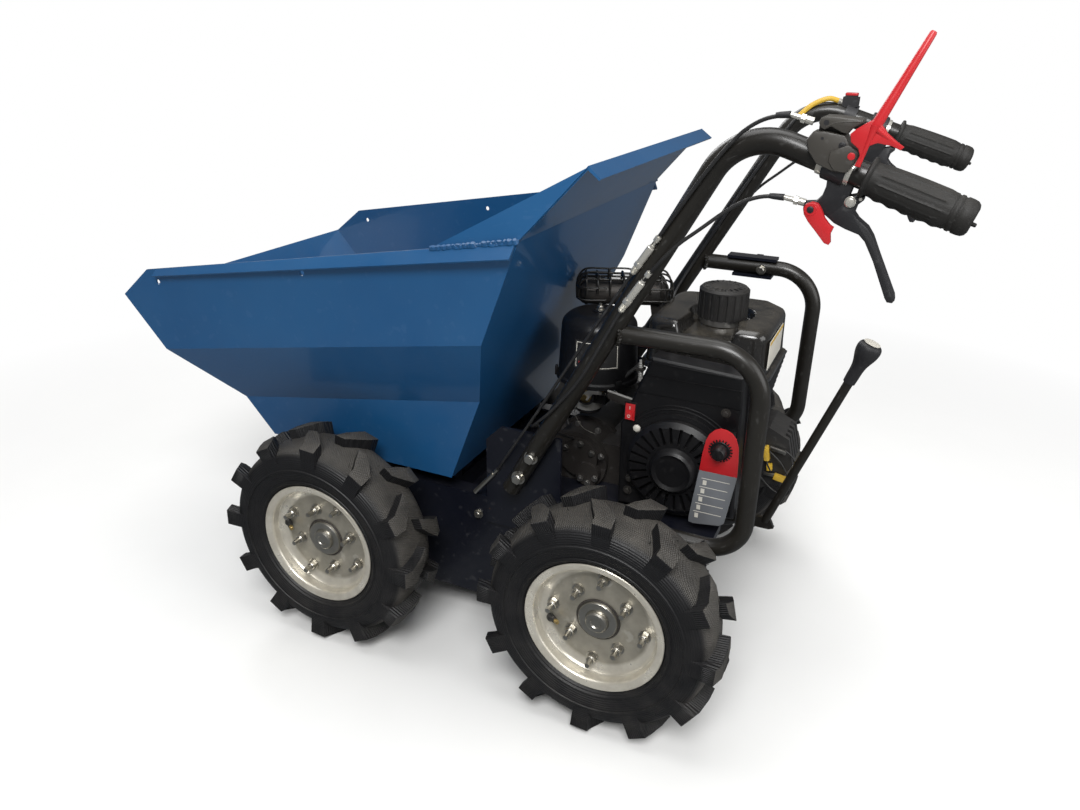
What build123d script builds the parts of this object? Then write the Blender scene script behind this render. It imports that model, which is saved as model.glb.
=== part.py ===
from build123d import *
import os
from math import atan2, cos, hypot, radians, sin, tan

# Four-wheel walk-behind site dumper: tipping skip, open petrol engine, handlebars.
# +X towards the tipping lip, +Y the recoil side, +Z up, millimetres.
# Heights are above the ground, lengths from the middle of the wheelbase.

# ---- driving dimensions: wheels ----
wheelbase = 528.0
track = 654.0
tyre_r = 205.0
tyre_w = 116.0
lug_h = 18.0
lugs_per_side = 12
carcass_t = 8.0
rim_w = 92.0
bead_r = 101.6
flange_r = 115.5
rim_t = 3.0
disc_depth = 28.0
hub_flange_r = 52.0
hub_cap_r = 33.0
hub_r = 24.0
stub_r = 12.5
run_gap = 0.05
clear = 0.3

# ---- frame ----
case_len = 670.0
case_w = 420.0
case_z0 = 70.0
case_h = 158.0
case_t = 4.0
deck_t = 5.0
rail_h = 58.0
rail_w = 30.0
rail_t = 4.0
rail_back = 131.0
rail_front = 181.0
beam_w = 40.0
beam_xs = (300.0, 100.0, -300.0)
axle_tube_r = 22.0
axle_tube_out = 38.0
axle_tube_in = 60.0
engine_plate_t = 6.0
engine_plate_x1 = -60.0
engine_plate_in = 12.0
bracket_t = 6.0
bracket_x0 = -138.0
bracket_x1 = 2.0
bracket_top = 432.0

# ---- skip ----
sheet_t = 3.0
skip_w = 632.0
skip_floor_w = 466.0
skip_floor_x0 = 64.0
skip_floor_x1 = 464.0
skip_floor_z = 321.0
skip_slope = 9.8
front_wall_angle = 48.4
rear_wall_angle = 69.3
lip_z = 593.0
rear_rim_z = 776.0
fold_low_z = 479.0
fold_high_z = 614.0
rim_front_x = 636.0
rim_strip_rear = 28.0
rim_strip_front = 16.0
rim_strip_angle = 43.0
board_hole_r = 4.5
board_hole_drop = 24.0
board_hole_xs = (281.0, 612.0)
guard_top_x = -198.0
guard_top_z = 880.0
guard_top_w = 584.0
guard_strip = 24.0
wing_foot_x = 35.0
bearer_y = 150.0
bearer_w = 30.0
bearer_h = 20.0
bearer_end = 12.0
pivot_x = 400.0
pivot_z = 262.0
pivot_r = 12.0
pivot_eye_r = 22.0

# ---- handlebars and engine hoops ----
bar_r = 16.0
bar_foot_x = -55.0
bar_foot_z = 330.0
bar_knee_x = -388.5
bar_knee_z = 940.0
bar_knee_y = 262.0
bar_end_x = -661.0
bar_end_z = 855.0
bar_end_y = 287.0
bar_bend_r = 80.0
grip_len = 122.0
grip_r = 22.5
grip_flange = 4.5
hoop_r = 14.0
hoop_out = 36.0
hoop_top_z = 642.0
hoop_rear_x = -452.0
hoop_low_z = 320.0
hoop_foot_back = 32.0
hoop_foot_t = 6.0
hoop_bend_r = 72.0
hoop_low_bend_r = 56.0

# ---- engine ----
crank_x = -317.0
crank_z = 397.0
block_y0 = -105.0
block_y1 = 84.0
block_back = 78.0
block_front = 80.0
block_top = 66.0
head_lean = 30.0
head_len = 130.0
head_w = 100.0
head_y0 = -70.0
head_y1 = 50.0
shroud_y1 = 150.0
shroud_step_y = 112.0
shroud_top_z = 576.0
shroud_seam_z = 512.0
recoil_r = 82.0
recoil_h = 22.0
recoil_hub_r = 36.0
recoil_hub_h = 12.0
recoil_slots = 26
slot_w = 5.0
tank_x = -330.0
tank_y = -2.0
tank_len = 202.0
tank_w = 204.0
tank_z0 = 540.0
tank_z1 = 623.0
tank_flange = 6.0
tank_flange_t = 9.0
cap_x = -336.0
cap_y = 8.0
cap_r = 41.0
cap_h = 50.0
cap_ribs = 20
well_r = 52.0
well_depth = 7.0
filter_x = -134.0
filter_y = 48.0
filter_r = 70.0
filter_z0 = 486.0
filter_z1 = 606.0
filter_foot_t = 7.0
bowl_r = 24.0
bowl_h = 26.0
muffler_r = 22.0
wire_r = 2.2
gear_x = -116.0
gear_z = 330.0
gear_r = 58.0
gear_y0 = -88.0
gear_y1 = 92.0
belt_y0 = -172.0
belt_x = -135.0
belt_z = 352.0
belt_big_r = 78.0
belt_small_r = 52.0
panel_t = 3.0
throttle_r = 15.0
throttle_h = 22.0
gear_lever_y = 105.0
gear_lever_r = 7.0
cable_r = 2.5

# ---- worked out from them ----
axle_z = tyre_r
axle_x = wheelbase / 2
wheel_y = track / 2
half_w = tyre_w / 2
half_rim = rim_w / 2
carcass_r = tyre_r - lug_h
shoulder_r = carcass_r - 9.0
seat_r = bead_r + clear
case_y = case_w / 2
case_z1 = case_z0 + case_h
deck_z = case_z1 + deck_t
rail_z1 = case_z1 + rail_h
rail_y0 = case_y - rail_w
bed_z = rail_z1 + engine_plate_t
axle_tube_y0 = case_y - axle_tube_in
axle_tube_y1 = case_y + axle_tube_out
rail_x0 = -axle_x - rail_back
rail_x1 = axle_x + rail_front
hoop_y = case_y + hoop_out
hoop_foot_x = -axle_x - hoop_foot_back
bar_foot_y = case_y + bracket_t + bar_r
front_tan = tan(radians(front_wall_angle))
rear_tan = tan(radians(rear_wall_angle))
slope_tan = tan(radians(skip_slope))
bearer_z0 = skip_floor_z - bearer_h
head_tan = tan(radians(head_lean))
head_x1 = crank_x + head_len * sin(radians(head_lean)) + head_w / 2 * cos(radians(head_lean))
head_z1 = crank_z + head_len * cos(radians(head_lean)) - head_w / 2 * sin(radians(head_lean))


def box(x0, x1, y0, y1, z0, z1):
    return Pos((x0 + x1) / 2, (y0 + y1) / 2, (z0 + z1) / 2) * Box(x1 - x0, y1 - y0, z1 - z0)


def prism(points, y0, y1):
    """Outline in (x, z), solid from y0 to y1."""
    face = make_face(Polyline(*[(x, y0, z) for x, z in points], close=True))
    return extrude(face, amount=y1 - y0, dir=(0, 1, 0))


def disc(x, z, r, y0, y1):
    """Cylinder along Y."""
    return Pos(x, (y0 + y1) / 2, z) * Rot(90, 0, 0) * Cylinder(r, y1 - y0)


def shaped(edges, y0, y1):
    """Solid from y0 to y1 of a closed outline of curves and lines at y0."""
    return extrude(make_face(edges), amount=y1 - y0, dir=(0, 1, 0))


def turned(points):
    """Ring about the Y axis from an (r, y) outline."""
    face = make_face(Polyline(*[(r, y, 0) for r, y in points], close=True))
    return revolve(face, Axis.Y)


def tube(points, radii, r, bore=0.0):
    path = FilletPolyline(*points, radius=radii) if radii else Line(*points)
    ring = Circle(r) - Circle(bore) if bore else Circle(r)
    return sweep(Plane(origin=path @ 0, z_dir=path % 0) * ring, path=path)


def rod(a, b, r):
    """Round bar between two points."""
    a, b = Vector(*a), Vector(*b)
    return Plane(origin=(a + b) / 2, z_dir=b - a) * Cylinder(r, (b - a).length)


def mirrored(shape):
    return mirror(shape, about=Plane.XZ)


def pair(shape):
    return Compound(children=[shape, mirrored(shape)])


# ---- wheels ----
def lug(side, turn):
    """One chevron bar, from near the crown's middle out over the shoulder."""
    lug_half = 28.0
    top = tyre_r - clear
    plan = [(lug_half, 3), (6, 3), (-lug_half, 38), (-lug_half, half_w), (4, half_w), (4, 40)]
    root = bead_r + 44
    profile = [(0, top), (half_w - 22, top), (half_w, top - 8), (half_w, root), (0, root)]
    face = make_face(Polyline(*[(x, side * y, 0) for x, y in plan], close=True))
    side_face = make_face(Polyline(*[(-lug_half, side * y, z) for y, z in profile], close=True))
    bar = extrude(face, amount=tyre_r, dir=(0, 0, 1))
    return Rot(0, turn, 0) * (bar & extrude(side_face, amount=2 * lug_half, dir=(1, 0, 0)))


def tyre():
    outer = [
        (seat_r, half_rim - 6 - clear), (bead_r + 3 + clear, half_rim - rim_t - clear),
        (flange_r + 1, half_rim - rim_t - clear), (flange_r + 5, half_rim + 3), (150, half_w - 1),
        (shoulder_r, half_w - 9), (carcass_r, 0),
    ]
    inner = [(seat_r, half_rim - 16), (bead_r + 30, half_w - 14),
             (shoulder_r - carcass_t, half_w - 20)]
    ring = outer + [(r, -y) for r, y in reversed(outer[:-1])]
    ring += [(r, -y) for r, y in inner] + [(r, y) for r, y in reversed(inner)]
    pitch = 360 / lugs_per_side
    solid = turned(ring)
    for i in range(lugs_per_side):
        solid += lug(1, pitch * i)
        solid += lug(-1, pitch * (i + 0.5))
    return solid


def wheel():
    """Dished rim on its hub, with the stub shaft that turns in the axle tube."""
    face_y = half_rim - disc_depth
    hub_in = axle_tube_y1 + 6 - wheel_y
    stub_in = axle_tube_y0 - wheel_y
    dish = [
        (flange_r, half_rim - rim_t), (bead_r + 3, half_rim - rim_t), (bead_r, half_rim - 6),
        (bead_r - 2, face_y + 6), (bead_r - 14, face_y), (hub_r, face_y),
    ]
    back = [(bead_r - 2, face_y + 10), (bead_r, 6 - half_rim), (bead_r + 3, rim_t - half_rim),
            (flange_r, rim_t - half_rim)]
    hub = [
        (0, face_y + 14), (hub_cap_r * 0.55, face_y + 14), (hub_cap_r * 0.6, face_y + 7),
        (hub_cap_r, face_y + 7), (hub_cap_r, face_y), (hub_flange_r, face_y),
        (hub_flange_r, face_y - 8), (hub_r, face_y - 8), (hub_r, hub_in), (stub_r, hub_in),
        (stub_r, stub_in), (0, stub_in),
    ]
    outer_half = turned(dish + [(r - rim_t, y + rim_t) for r, y in reversed(dish)])
    inner_half = turned(back + [(r - rim_t, y - rim_t) for r, y in reversed(back)])
    return outer_half + inner_half + turned(hub)


def placed(shape, front, left):
    """Wheel part at its corner: front is 1 or -1, left is True on the +Y side."""
    turned_shape = shape if left else mirrored(shape)
    return Pos(axle_x * front, wheel_y if left else -wheel_y, axle_z) * turned_shape


# ---- frame ----
def drive_case():
    """Folded steel tub that holds the gearbox and carries the axle tubes."""
    half = case_len / 2
    tub = box(-half, half, -case_y, case_y, case_z0, case_z1)
    tub -= box(case_t - half, half - case_t, case_t - case_y, case_y - case_t,
               case_z0 + case_t, case_z1 + 1)
    for x in (-axle_x, axle_x):
        tub -= disc(x, axle_z, axle_tube_r, -case_w, case_w)
    return tub


def axle_tubes():
    """Four bearing tubes through the case's walls, each with its bolted flange."""
    tubes = []
    for x in (-axle_x, axle_x):
        body = disc(x, axle_z, axle_tube_r, axle_tube_y0, axle_tube_y1)
        body += disc(x, axle_z, axle_tube_r + 16, case_y, case_y + 8)
        body -= disc(x, axle_z, stub_r + run_gap, axle_tube_y0 - 1, axle_tube_y1 + 1)
        tubes += [body, mirrored(body)]
    return Compound(children=tubes)


def drive_unit():
    return box(-170, 130, -110, 110, case_z0 + case_t, case_z1)


def deck_plate():
    half = case_len / 2
    return box(-half, half, -rail_y0, rail_y0, case_z1, deck_z)


def frame_rails():
    """Channel each side, web outboard, on the case's top edge."""
    rail = box(rail_x0, rail_x1, rail_y0, case_y, case_z1, rail_z1)
    rail -= box(rail_x0 - 1, rail_x1 + 1, rail_y0 - 1, case_y - rail_t,
                case_z1 + rail_t, rail_z1 - rail_t)
    rail -= disc(pivot_x, pivot_z, pivot_r + clear, rail_y0 - 1, case_y + 1)
    return pair(rail)


def cross_beams():
    """Square tubes between the channels; the middle one has the skip's rest pads."""
    beams = [box(x, x + beam_w, -rail_y0, rail_y0, deck_z, deck_z + beam_w - deck_t)
             for x in beam_xs]
    for side in (-1, 1):
        beams[1] += box(beam_xs[1], beam_xs[1] + beam_w, side * bearer_y - bearer_w / 2,
                        side * bearer_y + bearer_w / 2, deck_z + 10, bearer_z0 - clear)
    return Compound(children=beams)


def pivot_shaft():
    shaft = disc(pivot_x, pivot_z, pivot_r, -case_y - 6, case_y + 6)
    head = disc(pivot_x, pivot_z, pivot_r + 6, case_y, case_y + 6)
    return shaft + head + mirrored(head)


def handle_brackets():
    """Upright plates outside the channels that the handlebar feet bolt to."""
    z0 = case_z1 + 10
    outline = [(bracket_x0, z0), (bracket_x1, z0), (bracket_x1, bracket_top - 28),
               (bracket_x1 - 28, bracket_top), (bracket_x0, bracket_top)]
    return pair(prism(outline, case_y, case_y + bracket_t))


# ---- handlebars and hoops ----
bar_foot = Vector(bar_foot_x, bar_foot_y, bar_foot_z)
bar_knee = Vector(bar_knee_x, bar_knee_y, bar_knee_z)
bar_end = Vector(bar_end_x, bar_end_y, bar_end_z)


def handlebar():
    return tube([bar_foot, bar_knee, bar_end], [bar_bend_r], bar_r)


def grips():
    """Rubber grips: flange at the inner end, closed cap over the tube's end."""
    axis = Plane(origin=bar_end, z_dir=bar_knee - bar_end)
    profile = [
        (0, -6), (grip_r - 8, -6), (grip_r - 2, -2), (grip_r, 6), (grip_r, 14),
        (grip_r - 1.5, 16), (grip_r - 1.5, 20), (grip_r, 22), (grip_r + 1, grip_len - 16),
        (grip_r + grip_flange, grip_len - 8), (grip_r + grip_flange, grip_len),
        (bar_r + clear, grip_len), (bar_r + clear, -clear), (0, -clear),
    ]
    face = make_face(Polyline(*[(r, 0, z) for r, z in profile], close=True))
    return pair(axis * revolve(face, Axis.Z))


def bar_point(z):
    """Point on the handlebar's straight leg at a height."""
    t = (z - bar_foot_z) / (bar_knee_z - bar_foot_z)
    return bar_foot + (bar_knee - bar_foot) * t


def hoop():
    """Guard tube beside the engine, coped onto the handlebar and bent round to its foot."""
    top_x = bar_point(hoop_top_z).X
    path = [(top_x - bar_r, hoop_y, hoop_top_z), (hoop_rear_x, hoop_y, hoop_top_z),
            (hoop_rear_x, hoop_y, hoop_low_z), (hoop_foot_x, hoop_y, hoop_low_z)]
    bent = tube(path, [hoop_bend_r, hoop_low_bend_r], hoop_r)
    return bent - rod(bar_foot, bar_knee, bar_r + clear)


def hoop_feet():
    """Plates standing out from the channels, which the hoops end against."""
    foot = box(hoop_foot_x, hoop_foot_x + hoop_foot_t, case_y, hoop_y + hoop_r,
               case_z1 + 10, hoop_low_z + hoop_r + 4)
    return pair(foot)


def hoop_clamp():
    """Two flat bars bolted above and below the right hoop's top run."""
    x0, x1 = hoop_rear_x + hoop_bend_r + 4, hoop_rear_x + hoop_bend_r + 96
    y0, y1 = -hoop_y - hoop_r, hoop_r - hoop_y
    top, low = hoop_top_z + hoop_r + clear, hoop_top_z - hoop_r - clear
    upper = box(x0, x1, y0, y1, top, top + 5)
    lower = box(x0 + 6, x1 - 12, y0, y1, low - 5, low)
    bolt = box(x0 + 30, x0 + 42, y0 - 6, y0 - clear, low - 5, top + 5)
    return upper + lower + bolt


# ---- engine ----
def engine_plate():
    half = case_y - engine_plate_in
    return box(rail_x0, engine_plate_x1, -half, half, rail_z1, bed_z)


def engine_block():
    """Crankcase and slanted cylinder as one plain casting."""
    case = box(crank_x - block_back, crank_x + block_front, block_y0, block_y1,
               bed_z, crank_z + block_top)
    barrel = Pos(0, (head_y0 + head_y1) / 2, (head_len + 30) / 2)
    barrel *= Box(head_w, head_y1 - head_y0, head_len - 30)
    return case + Pos(crank_x, 0, crank_z) * Rot(0, head_lean, 0) * barrel


def head_top(x):
    """Height just above the slanted head's top face."""
    return head_z1 + (head_x1 - x) * head_tan + clear


def head_face(z):
    """Place just ahead of the slanted head's front face."""
    return head_x1 - (head_z1 - z) * head_tan + clear


def blower_housing():
    """Fan shroud: a low part under the tank and a taller front panel with a ring and a seam."""
    top = tank_z0 - clear
    low = [(-418, 318), (-218, 300), (-216, 452), (-249, top), (-414, top)]
    high = low[:3] + [(-262, shroud_top_z), (-410, shroud_top_z - 8)]
    shroud = prism(low, block_y1, shroud_step_y) + prism(high, shroud_step_y, shroud_y1)
    shroud = fillet(shroud.faces().sort_by(Axis.Y)[-1].edges(), 6)
    shroud -= box(-420, -200, shroud_y1 - 1.5, shroud_y1 + 1, shroud_seam_z, shroud_seam_z + 2.5)
    ring = disc(crank_x, crank_z, recoil_r + 9, shroud_y1, shroud_y1 + 5)
    return shroud + ring - disc(crank_x, crank_z, recoil_r + clear, shroud_y1, shroud_y1 + 9)


def tank_support():
    """Ribbed moulding behind the shroud that carries the tank's rear half."""
    base, top = crank_z + block_top + clear, tank_z0 - clear
    x0 = crank_x - block_back
    outline = [(x0, base), (x0 + 52, base), (x0 + 52, top), (x0 - 34, top), (x0 - 28, top - 34)]
    body = prism(outline, head_y0 - 18, block_y1 - clear)
    for i in range(5):
        y = head_y0 - 4 + i * 32
        body -= box(x0 - 60, x0 - 24, y, y + 8, base - 1, top - 8)
    return body


def recoil_cover():
    """Round starter cover: a rounded rim, radial air slots and a raised hub."""
    face_y, hub_y = shroud_y1 + recoil_h, shroud_y1 + recoil_h + recoil_hub_h
    profile = [
        (0, shroud_y1), (recoil_r, shroud_y1), (recoil_r, face_y - 8), (recoil_r - 8, face_y),
        (recoil_hub_r + 4, face_y), (recoil_hub_r, hub_y - 4), (recoil_hub_r - 4, hub_y),
        (recoil_hub_r - 10, hub_y - 3), (0, hub_y - 3),
    ]
    cover = turned(profile)
    for i in range(recoil_slots):
        slot = box(recoil_hub_r + 9, recoil_r - 7, face_y - 11, face_y + 1, -slot_w / 2, slot_w / 2)
        cover -= Rot(0, 360 / recoil_slots * i, 0) * slot
    return Pos(crank_x, 0, crank_z) * cover


def fuel_tank():
    """Moulded tank: bottom flange, rounded body and a sunk well round the filler."""
    flange_z = tank_z0 + tank_flange_t
    flange = box(tank_x - tank_len / 2 - tank_flange, tank_x + tank_len / 2 + tank_flange,
                 tank_y - tank_w / 2 - tank_flange, tank_y + tank_w / 2 + tank_flange,
                 tank_z0, flange_z)
    flange = fillet(flange.edges().filter_by(Axis.Z), 30)
    body = Pos(tank_x, tank_y, (flange_z + tank_z1) / 2)
    body *= Box(tank_len, tank_w, tank_z1 - flange_z)
    body = fillet(body.edges().filter_by(Axis.Z), 26)
    body = fillet(body.edges().group_by(Axis.Z)[-1], 15)
    floor_z = tank_z1 - well_depth
    body -= Pos(cap_x, cap_y, floor_z + 10) * Cylinder(well_r, 20)
    spout = box(cap_x - 30, cap_x + 44, cap_y, tank_y + tank_w / 2 + 10, floor_z, tank_z1 + 10)
    return flange + (body - spout)


def fuel_cap():
    """Ribbed filler cap with a domed top."""
    z0 = tank_z1 - well_depth + clear
    cap = Pos(cap_x, cap_y, z0 + cap_h / 2) * Cylinder(cap_r, cap_h)
    cap = chamfer(cap.edges().group_by(Axis.Z)[-1], 4)
    for i in range(cap_ribs):
        groove = Pos(cap_r + 1, 0, cap_h / 2 + 10) * Cylinder(3, cap_h - 6)
        cap -= Pos(cap_x, cap_y, z0 - 14) * Rot(0, 0, 360 / cap_ribs * i) * groove
    return cap


def air_cleaner():
    """Tapered can with a wide rounded shoulder, on its foot."""
    height = filter_z1 - filter_z0
    foot, shoulder = filter_r + 3, filter_r - 4
    half = [
        Line((0, 0, 0), (foot, 0, 0)), Line((foot, 0, 0), (foot, 0, filter_foot_t)),
        Line((foot, 0, filter_foot_t), (filter_r, 0, filter_foot_t + 3)),
        Line((filter_r, 0, filter_foot_t + 3), (shoulder, 0, height - 26)),
        Spline((shoulder, 0, height - 26), (shoulder - 9, 0, height - 8),
               (shoulder - 30, 0, height), tangents=[(0, 0, 1), (-1, 0, 0)]),
        Line((shoulder - 30, 0, height), (0, 0, height)), Line((0, 0, height), (0, 0, 0)),
    ]
    return Pos(filter_x, filter_y, filter_z0) * revolve(make_face(half), Axis.Z)


def carburettor():
    """Throttle body with its float bowl and the intake pipe to the head."""
    body = box(-158, -94, 20, 66, 440, filter_z0 - clear)
    intake = [(-158, 448), (-158, 474), (head_face(474), 474), (head_face(448), 448)]
    bowl = Pos(-118, 45, 440 - bowl_h / 2) * Cylinder(bowl_r, bowl_h)
    bowl = fillet(bowl.edges().group_by(Axis.Z)[0], 8)
    return body + prism(intake, 22, 48) + bowl + disc(-126, 458, 17, 66, 84)


muffler_a = Vector(-84, -10, 619)
muffler_b = Vector(-202, -62, 618)


def muffler():
    """Round silencer with domed ends, on its exhaust pipe from the head."""
    half = (muffler_b - muffler_a).length / 2
    profile = [
        (0, -half - 11), (muffler_r * 0.5, -half - 9), (muffler_r * 0.85, -half - 4),
        (muffler_r, -half + 3), (muffler_r, half - 3), (muffler_r * 0.85, half + 4),
        (muffler_r * 0.5, half + 9), (0, half + 11),
    ]
    face = make_face(Polyline(*[(r, 0, z) for r, z in profile], close=True))
    drum = Plane(origin=(muffler_a + muffler_b) / 2, z_dir=muffler_b - muffler_a) * revolve(face, Axis.Z)
    x0, x1 = head_x1 - 22, head_x1 - 4
    pipe = [(muffler_b.X - 4, muffler_b.Z), (muffler_b.X + 14, muffler_b.Z),
            (x1, head_top(x1)), (x0, head_top(x0))]
    return drum + prism(pipe, muffler_b.Y - 9, muffler_b.Y + 9)


def muffler_guard():
    """Wire cage over the silencer: bent wires along it and round it."""
    along = (muffler_b - muffler_a).normalized()
    across = Vector(0, 0, 1).cross(along).normalized()
    up = along.cross(across)
    middle = (muffler_a + muffler_b) / 2
    half = (muffler_b - muffler_a).length / 2
    reach, rise = muffler_r + wire_r + 7, muffler_r + 7
    gap = 2 * wire_r + clear
    wires = []
    for side in (-22, 0, 22):
        route = [(-half - 14, -6), (-half - 14, rise), (half + 14, rise), (half + 14, -6)]
        points = [middle + across * side + along * a + up * b for a, b in route]
        wires.append(tube(points, [16, 16], wire_r))
    for place in (-46, 0, 46):
        route = [(-reach, 6), (-reach, rise + gap), (reach, rise + gap), (reach, -14)]
        points = [middle + along * place + across * a + up * b for a, b in route]
        wires.append(tube(points, [16, 16], wire_r))
    return Compound(children=wires)


def gearbox():
    """Round cast housing ahead of the engine, with its bearing covers."""
    flange = head_y1 / 2
    body = disc(gear_x, gear_z, gear_r, gear_y0, gear_y1)
    body += disc(gear_x, gear_z, gear_r + 7, flange - 6, flange + 6)
    body += box(crank_x + block_front + clear, gear_x, gear_y0 + 20, gear_y1 - 14, bed_z, gear_z + 40)
    body += disc(gear_x - 8, gear_z + 12, gear_r * 0.62, gear_y1, gear_y1 + 10)
    body += disc(gear_x - 28, gear_z - 14, gear_r * 0.38, gear_y1, gear_y1 + 16)
    return body & box(-300, 0, -200, 200, bed_z, 500)


def belt_guard():
    """Cover over the belt from the crankshaft to the gearbox input."""
    cover = disc(crank_x, crank_z, belt_big_r, belt_y0, block_y0)
    cover += disc(belt_x, belt_z, belt_small_r, belt_y0, block_y0)
    link = [(crank_x, crank_z + belt_big_r), (belt_x, belt_z + belt_small_r),
            (belt_x, belt_z - belt_small_r), (crank_x, crank_z - belt_big_r)]
    return cover + prism(link, belt_y0, block_y0)


def throttle_panel():
    """Leaning plate outside the starter cover, on its arm from the shroud."""
    y0 = shroud_y1 + recoil_h + 2
    outline = [(-352, 313), (-409, 321), (-421, 408), (-418, 462), (-406, 484), (-388, 489),
               (-368, 470), (-362, 412)]
    plate = prism(outline, y0, y0 + panel_t)
    arm = box(-408, -390, shroud_y1, y0, 478 - 12, 478)
    knob_x, knob_z = -391, 452
    dial = disc(knob_x, knob_z, throttle_r, y0 + panel_t, y0 + panel_t + throttle_h)
    return plate + arm + dial


def stop_rocker():
    y0 = shroud_y1 + clear
    rocker = box(-241, -225, y0, y0 + 4, 463, 491)
    return rocker + box(-239, -227, y0 + 4, y0 + 9, 466, 478)


def regulator_box():
    """Finned electrical housing on the crankcase's rear face."""
    x1 = crank_x - block_back - clear
    outline = [(x1, 330), (x1 - 44, 320), (x1 - 74, 342), (x1 - 90, 374), (x1 - 78, 420),
               (x1 - 44, 436), (x1, 430)]
    body = prism(outline, -58, 22)
    for i in range(4):
        y = -50 + i * 18
        body -= box(x1 - 110, x1 - 70, y, y + 9, 326, 434)
    return body


lever_foot = Vector(-463, gear_lever_y, 305)
lever_neck = Vector(-555, gear_lever_y, 571)


def gear_lever():
    """Straight lever on its foot bracket behind the engine plate."""
    stem = rod(lever_foot, lever_neck, gear_lever_r)
    top = bed_z + 20
    bracket = prism([(rail_x0 + 40, bed_z + clear), (rail_x0 + 40, top), (lever_foot.X - 8, top),
                     (lever_foot.X - 16, bed_z + 4), (lever_foot.X - 8, bed_z + clear)],
                    gear_lever_y - 4, gear_lever_y + 4)
    return stem + bracket


def gear_knob():
    """Pear-shaped knob with a flat top."""
    along = lever_neck - lever_foot
    profile = [
        Line((0, 0, 0.4), (9, 0, 0.4)), Line((9, 0, 0.4), (9.5, 0, 12)),
        Spline((9.5, 0, 12), (11.5, 0, 34), (17.5, 0, 54), (13, 0, 68),
               tangents=[(0, 0, 1), (-1, 0, 0.4)]),
        Line((13, 0, 68), (0, 0, 70)), Line((0, 0, 70), (0, 0, 0.4)),
    ]
    return Plane(origin=lever_neck, z_dir=along) * revolve(make_face(profile), Axis.Z)


# ---- controls ----
lever_y = 273.0
lever_t = 14.0
perch_t = 20.0
clamp_t = 7.0


def grip_run(x):
    """Point of the handlebar's grip run at a length."""
    t = (x - bar_end_x) / (bar_knee_x - bar_end_x)
    return bar_end + (bar_knee - bar_end) * t


def clamp_at(x, r, length):
    """Ring clamped round the grip run."""
    ring = Cylinder(r, length) - Cylinder(bar_r + clear, length + 2)
    return Plane(origin=grip_run(x), z_dir=bar_knee - bar_end) * ring


def lever_unit():
    """Perch clamped under the handlebar, with the long curved hand lever and its catch plate."""
    cut = rod(bar_end, grip_run(-400), bar_r + clear)
    perch = prism([(-532, 892), (-496, 902), (-498, 874), (-477, 858), (-480, 843), (-500, 842),
                   (-514, 836), (-541, 846), (-540, 857), (-532, 862)],
                  lever_y - perch_t / 2, lever_y + perch_t / 2)
    front = Spline((-500, lever_y - lever_t / 2, 842), (-540, lever_y - lever_t / 2, 829),
                   (-564, lever_y - lever_t / 2, 800), (-590, lever_y - lever_t / 2, 742))
    tip = Line((-590, lever_y - lever_t / 2, 742), (-604, lever_y - lever_t / 2, 745))
    back = Spline((-604, lever_y - lever_t / 2, 745), (-576, lever_y - lever_t / 2, 809),
                  (-558, lever_y - lever_t / 2, 836), (-540, lever_y - lever_t / 2, 852))
    close = Line((-540, lever_y - lever_t / 2, 852), (-500, lever_y - lever_t / 2, 842))
    blade = shaped([front, tip, back, close], lever_y - lever_t / 2, lever_y + lever_t / 2)
    return clamp_at(-510, bar_r + clamp_t, 44) + (perch + blade - cut)


def parking_catch():
    """Small hooked catch on the perch's outer face."""
    y0 = lever_y + perch_t / 2 + clear
    return disc(-487, 851, 9, y0, y0 + 7) + prism(
        [(-480, 846), (-486, 832), (-503, 812), (-513, 808), (-509, 824), (-506, 846), (-494, 858)],
        y0, y0 + 7)


def tip_control():
    """Housing of the tipping control, clamped on the left handlebar."""
    outline = [(-468, 926), (-470, 944), (-482, 957), (-513, 962), (-526, 957), (-531, 925),
               (-530, 902), (-482, 908)]
    body = prism(outline, lever_y - 16, lever_y + 24)
    body = fillet(body.edges().filter_by(Axis.Y), 5)
    saddle = rod(grip_run(-620), grip_run(-410), bar_r + clamp_t + clear)
    return body - saddle


def tip_lever():
    """Fan-shaped yoke on the housing's side, with its long tapered rod."""
    y0 = lever_y + 24 + clear
    fan = prism([(-524, 906), (-536, 902), (-543, 920), (-553, 939), (-570, 931), (-573, 936),
                 (-546, 961), (-538, 962), (-517, 944), (-519, 924)], y0, y0 + 7)
    low, high = Vector(-546, y0 + 3.5, 952), Vector(-587, y0 - 12, 1047)
    taper = loft([Plane(origin=low, z_dir=high - low) * Circle(6.5),
                  Plane(origin=high, z_dir=high - low) * Circle(4)])
    return fan + taper


def kill_switch():
    """Switch box standing on the right handlebar, with its push button."""
    at = mirrored(clamp_at(-461, bar_r + 5, 20))
    seat = grip_run(-461)
    body = box(-474, -448, -seat.Y - 12, 12 - seat.Y, seat.Z + bar_r, seat.Z + bar_r + 16)
    body -= mirrored(rod(bar_end, grip_run(-400), bar_r + clear))
    button = box(-471, -451, -seat.Y - 8, 8 - seat.Y, seat.Z + bar_r + 16, seat.Z + bar_r + 22)
    return at + body + button


def skip_latch():
    """Spring bolt on the left bracket's outer face that locks the skip down."""
    y = case_y + bracket_t + clear + 4
    return rod((24, y, 296), (-14, y, 342), 4) + rod((-4, y, 330), (-22, y, 352), 3)


# ---- cables ----
cable_radii = []


def cable(points):
    """Sheathed cable with each bend as large as its runs allow."""
    points = [Vector(*p) for p in points]
    radii = []
    for before, at, after in zip(points, points[1:], points[2:]):
        turn = radians((at - before).get_angle(after - at))
        radii.append(0.45 * min((at - before).length, (after - at).length) / tan(turn / 2))
    cable_radii.append(min(radii))
    return tube(points, radii, cable_r)


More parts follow.
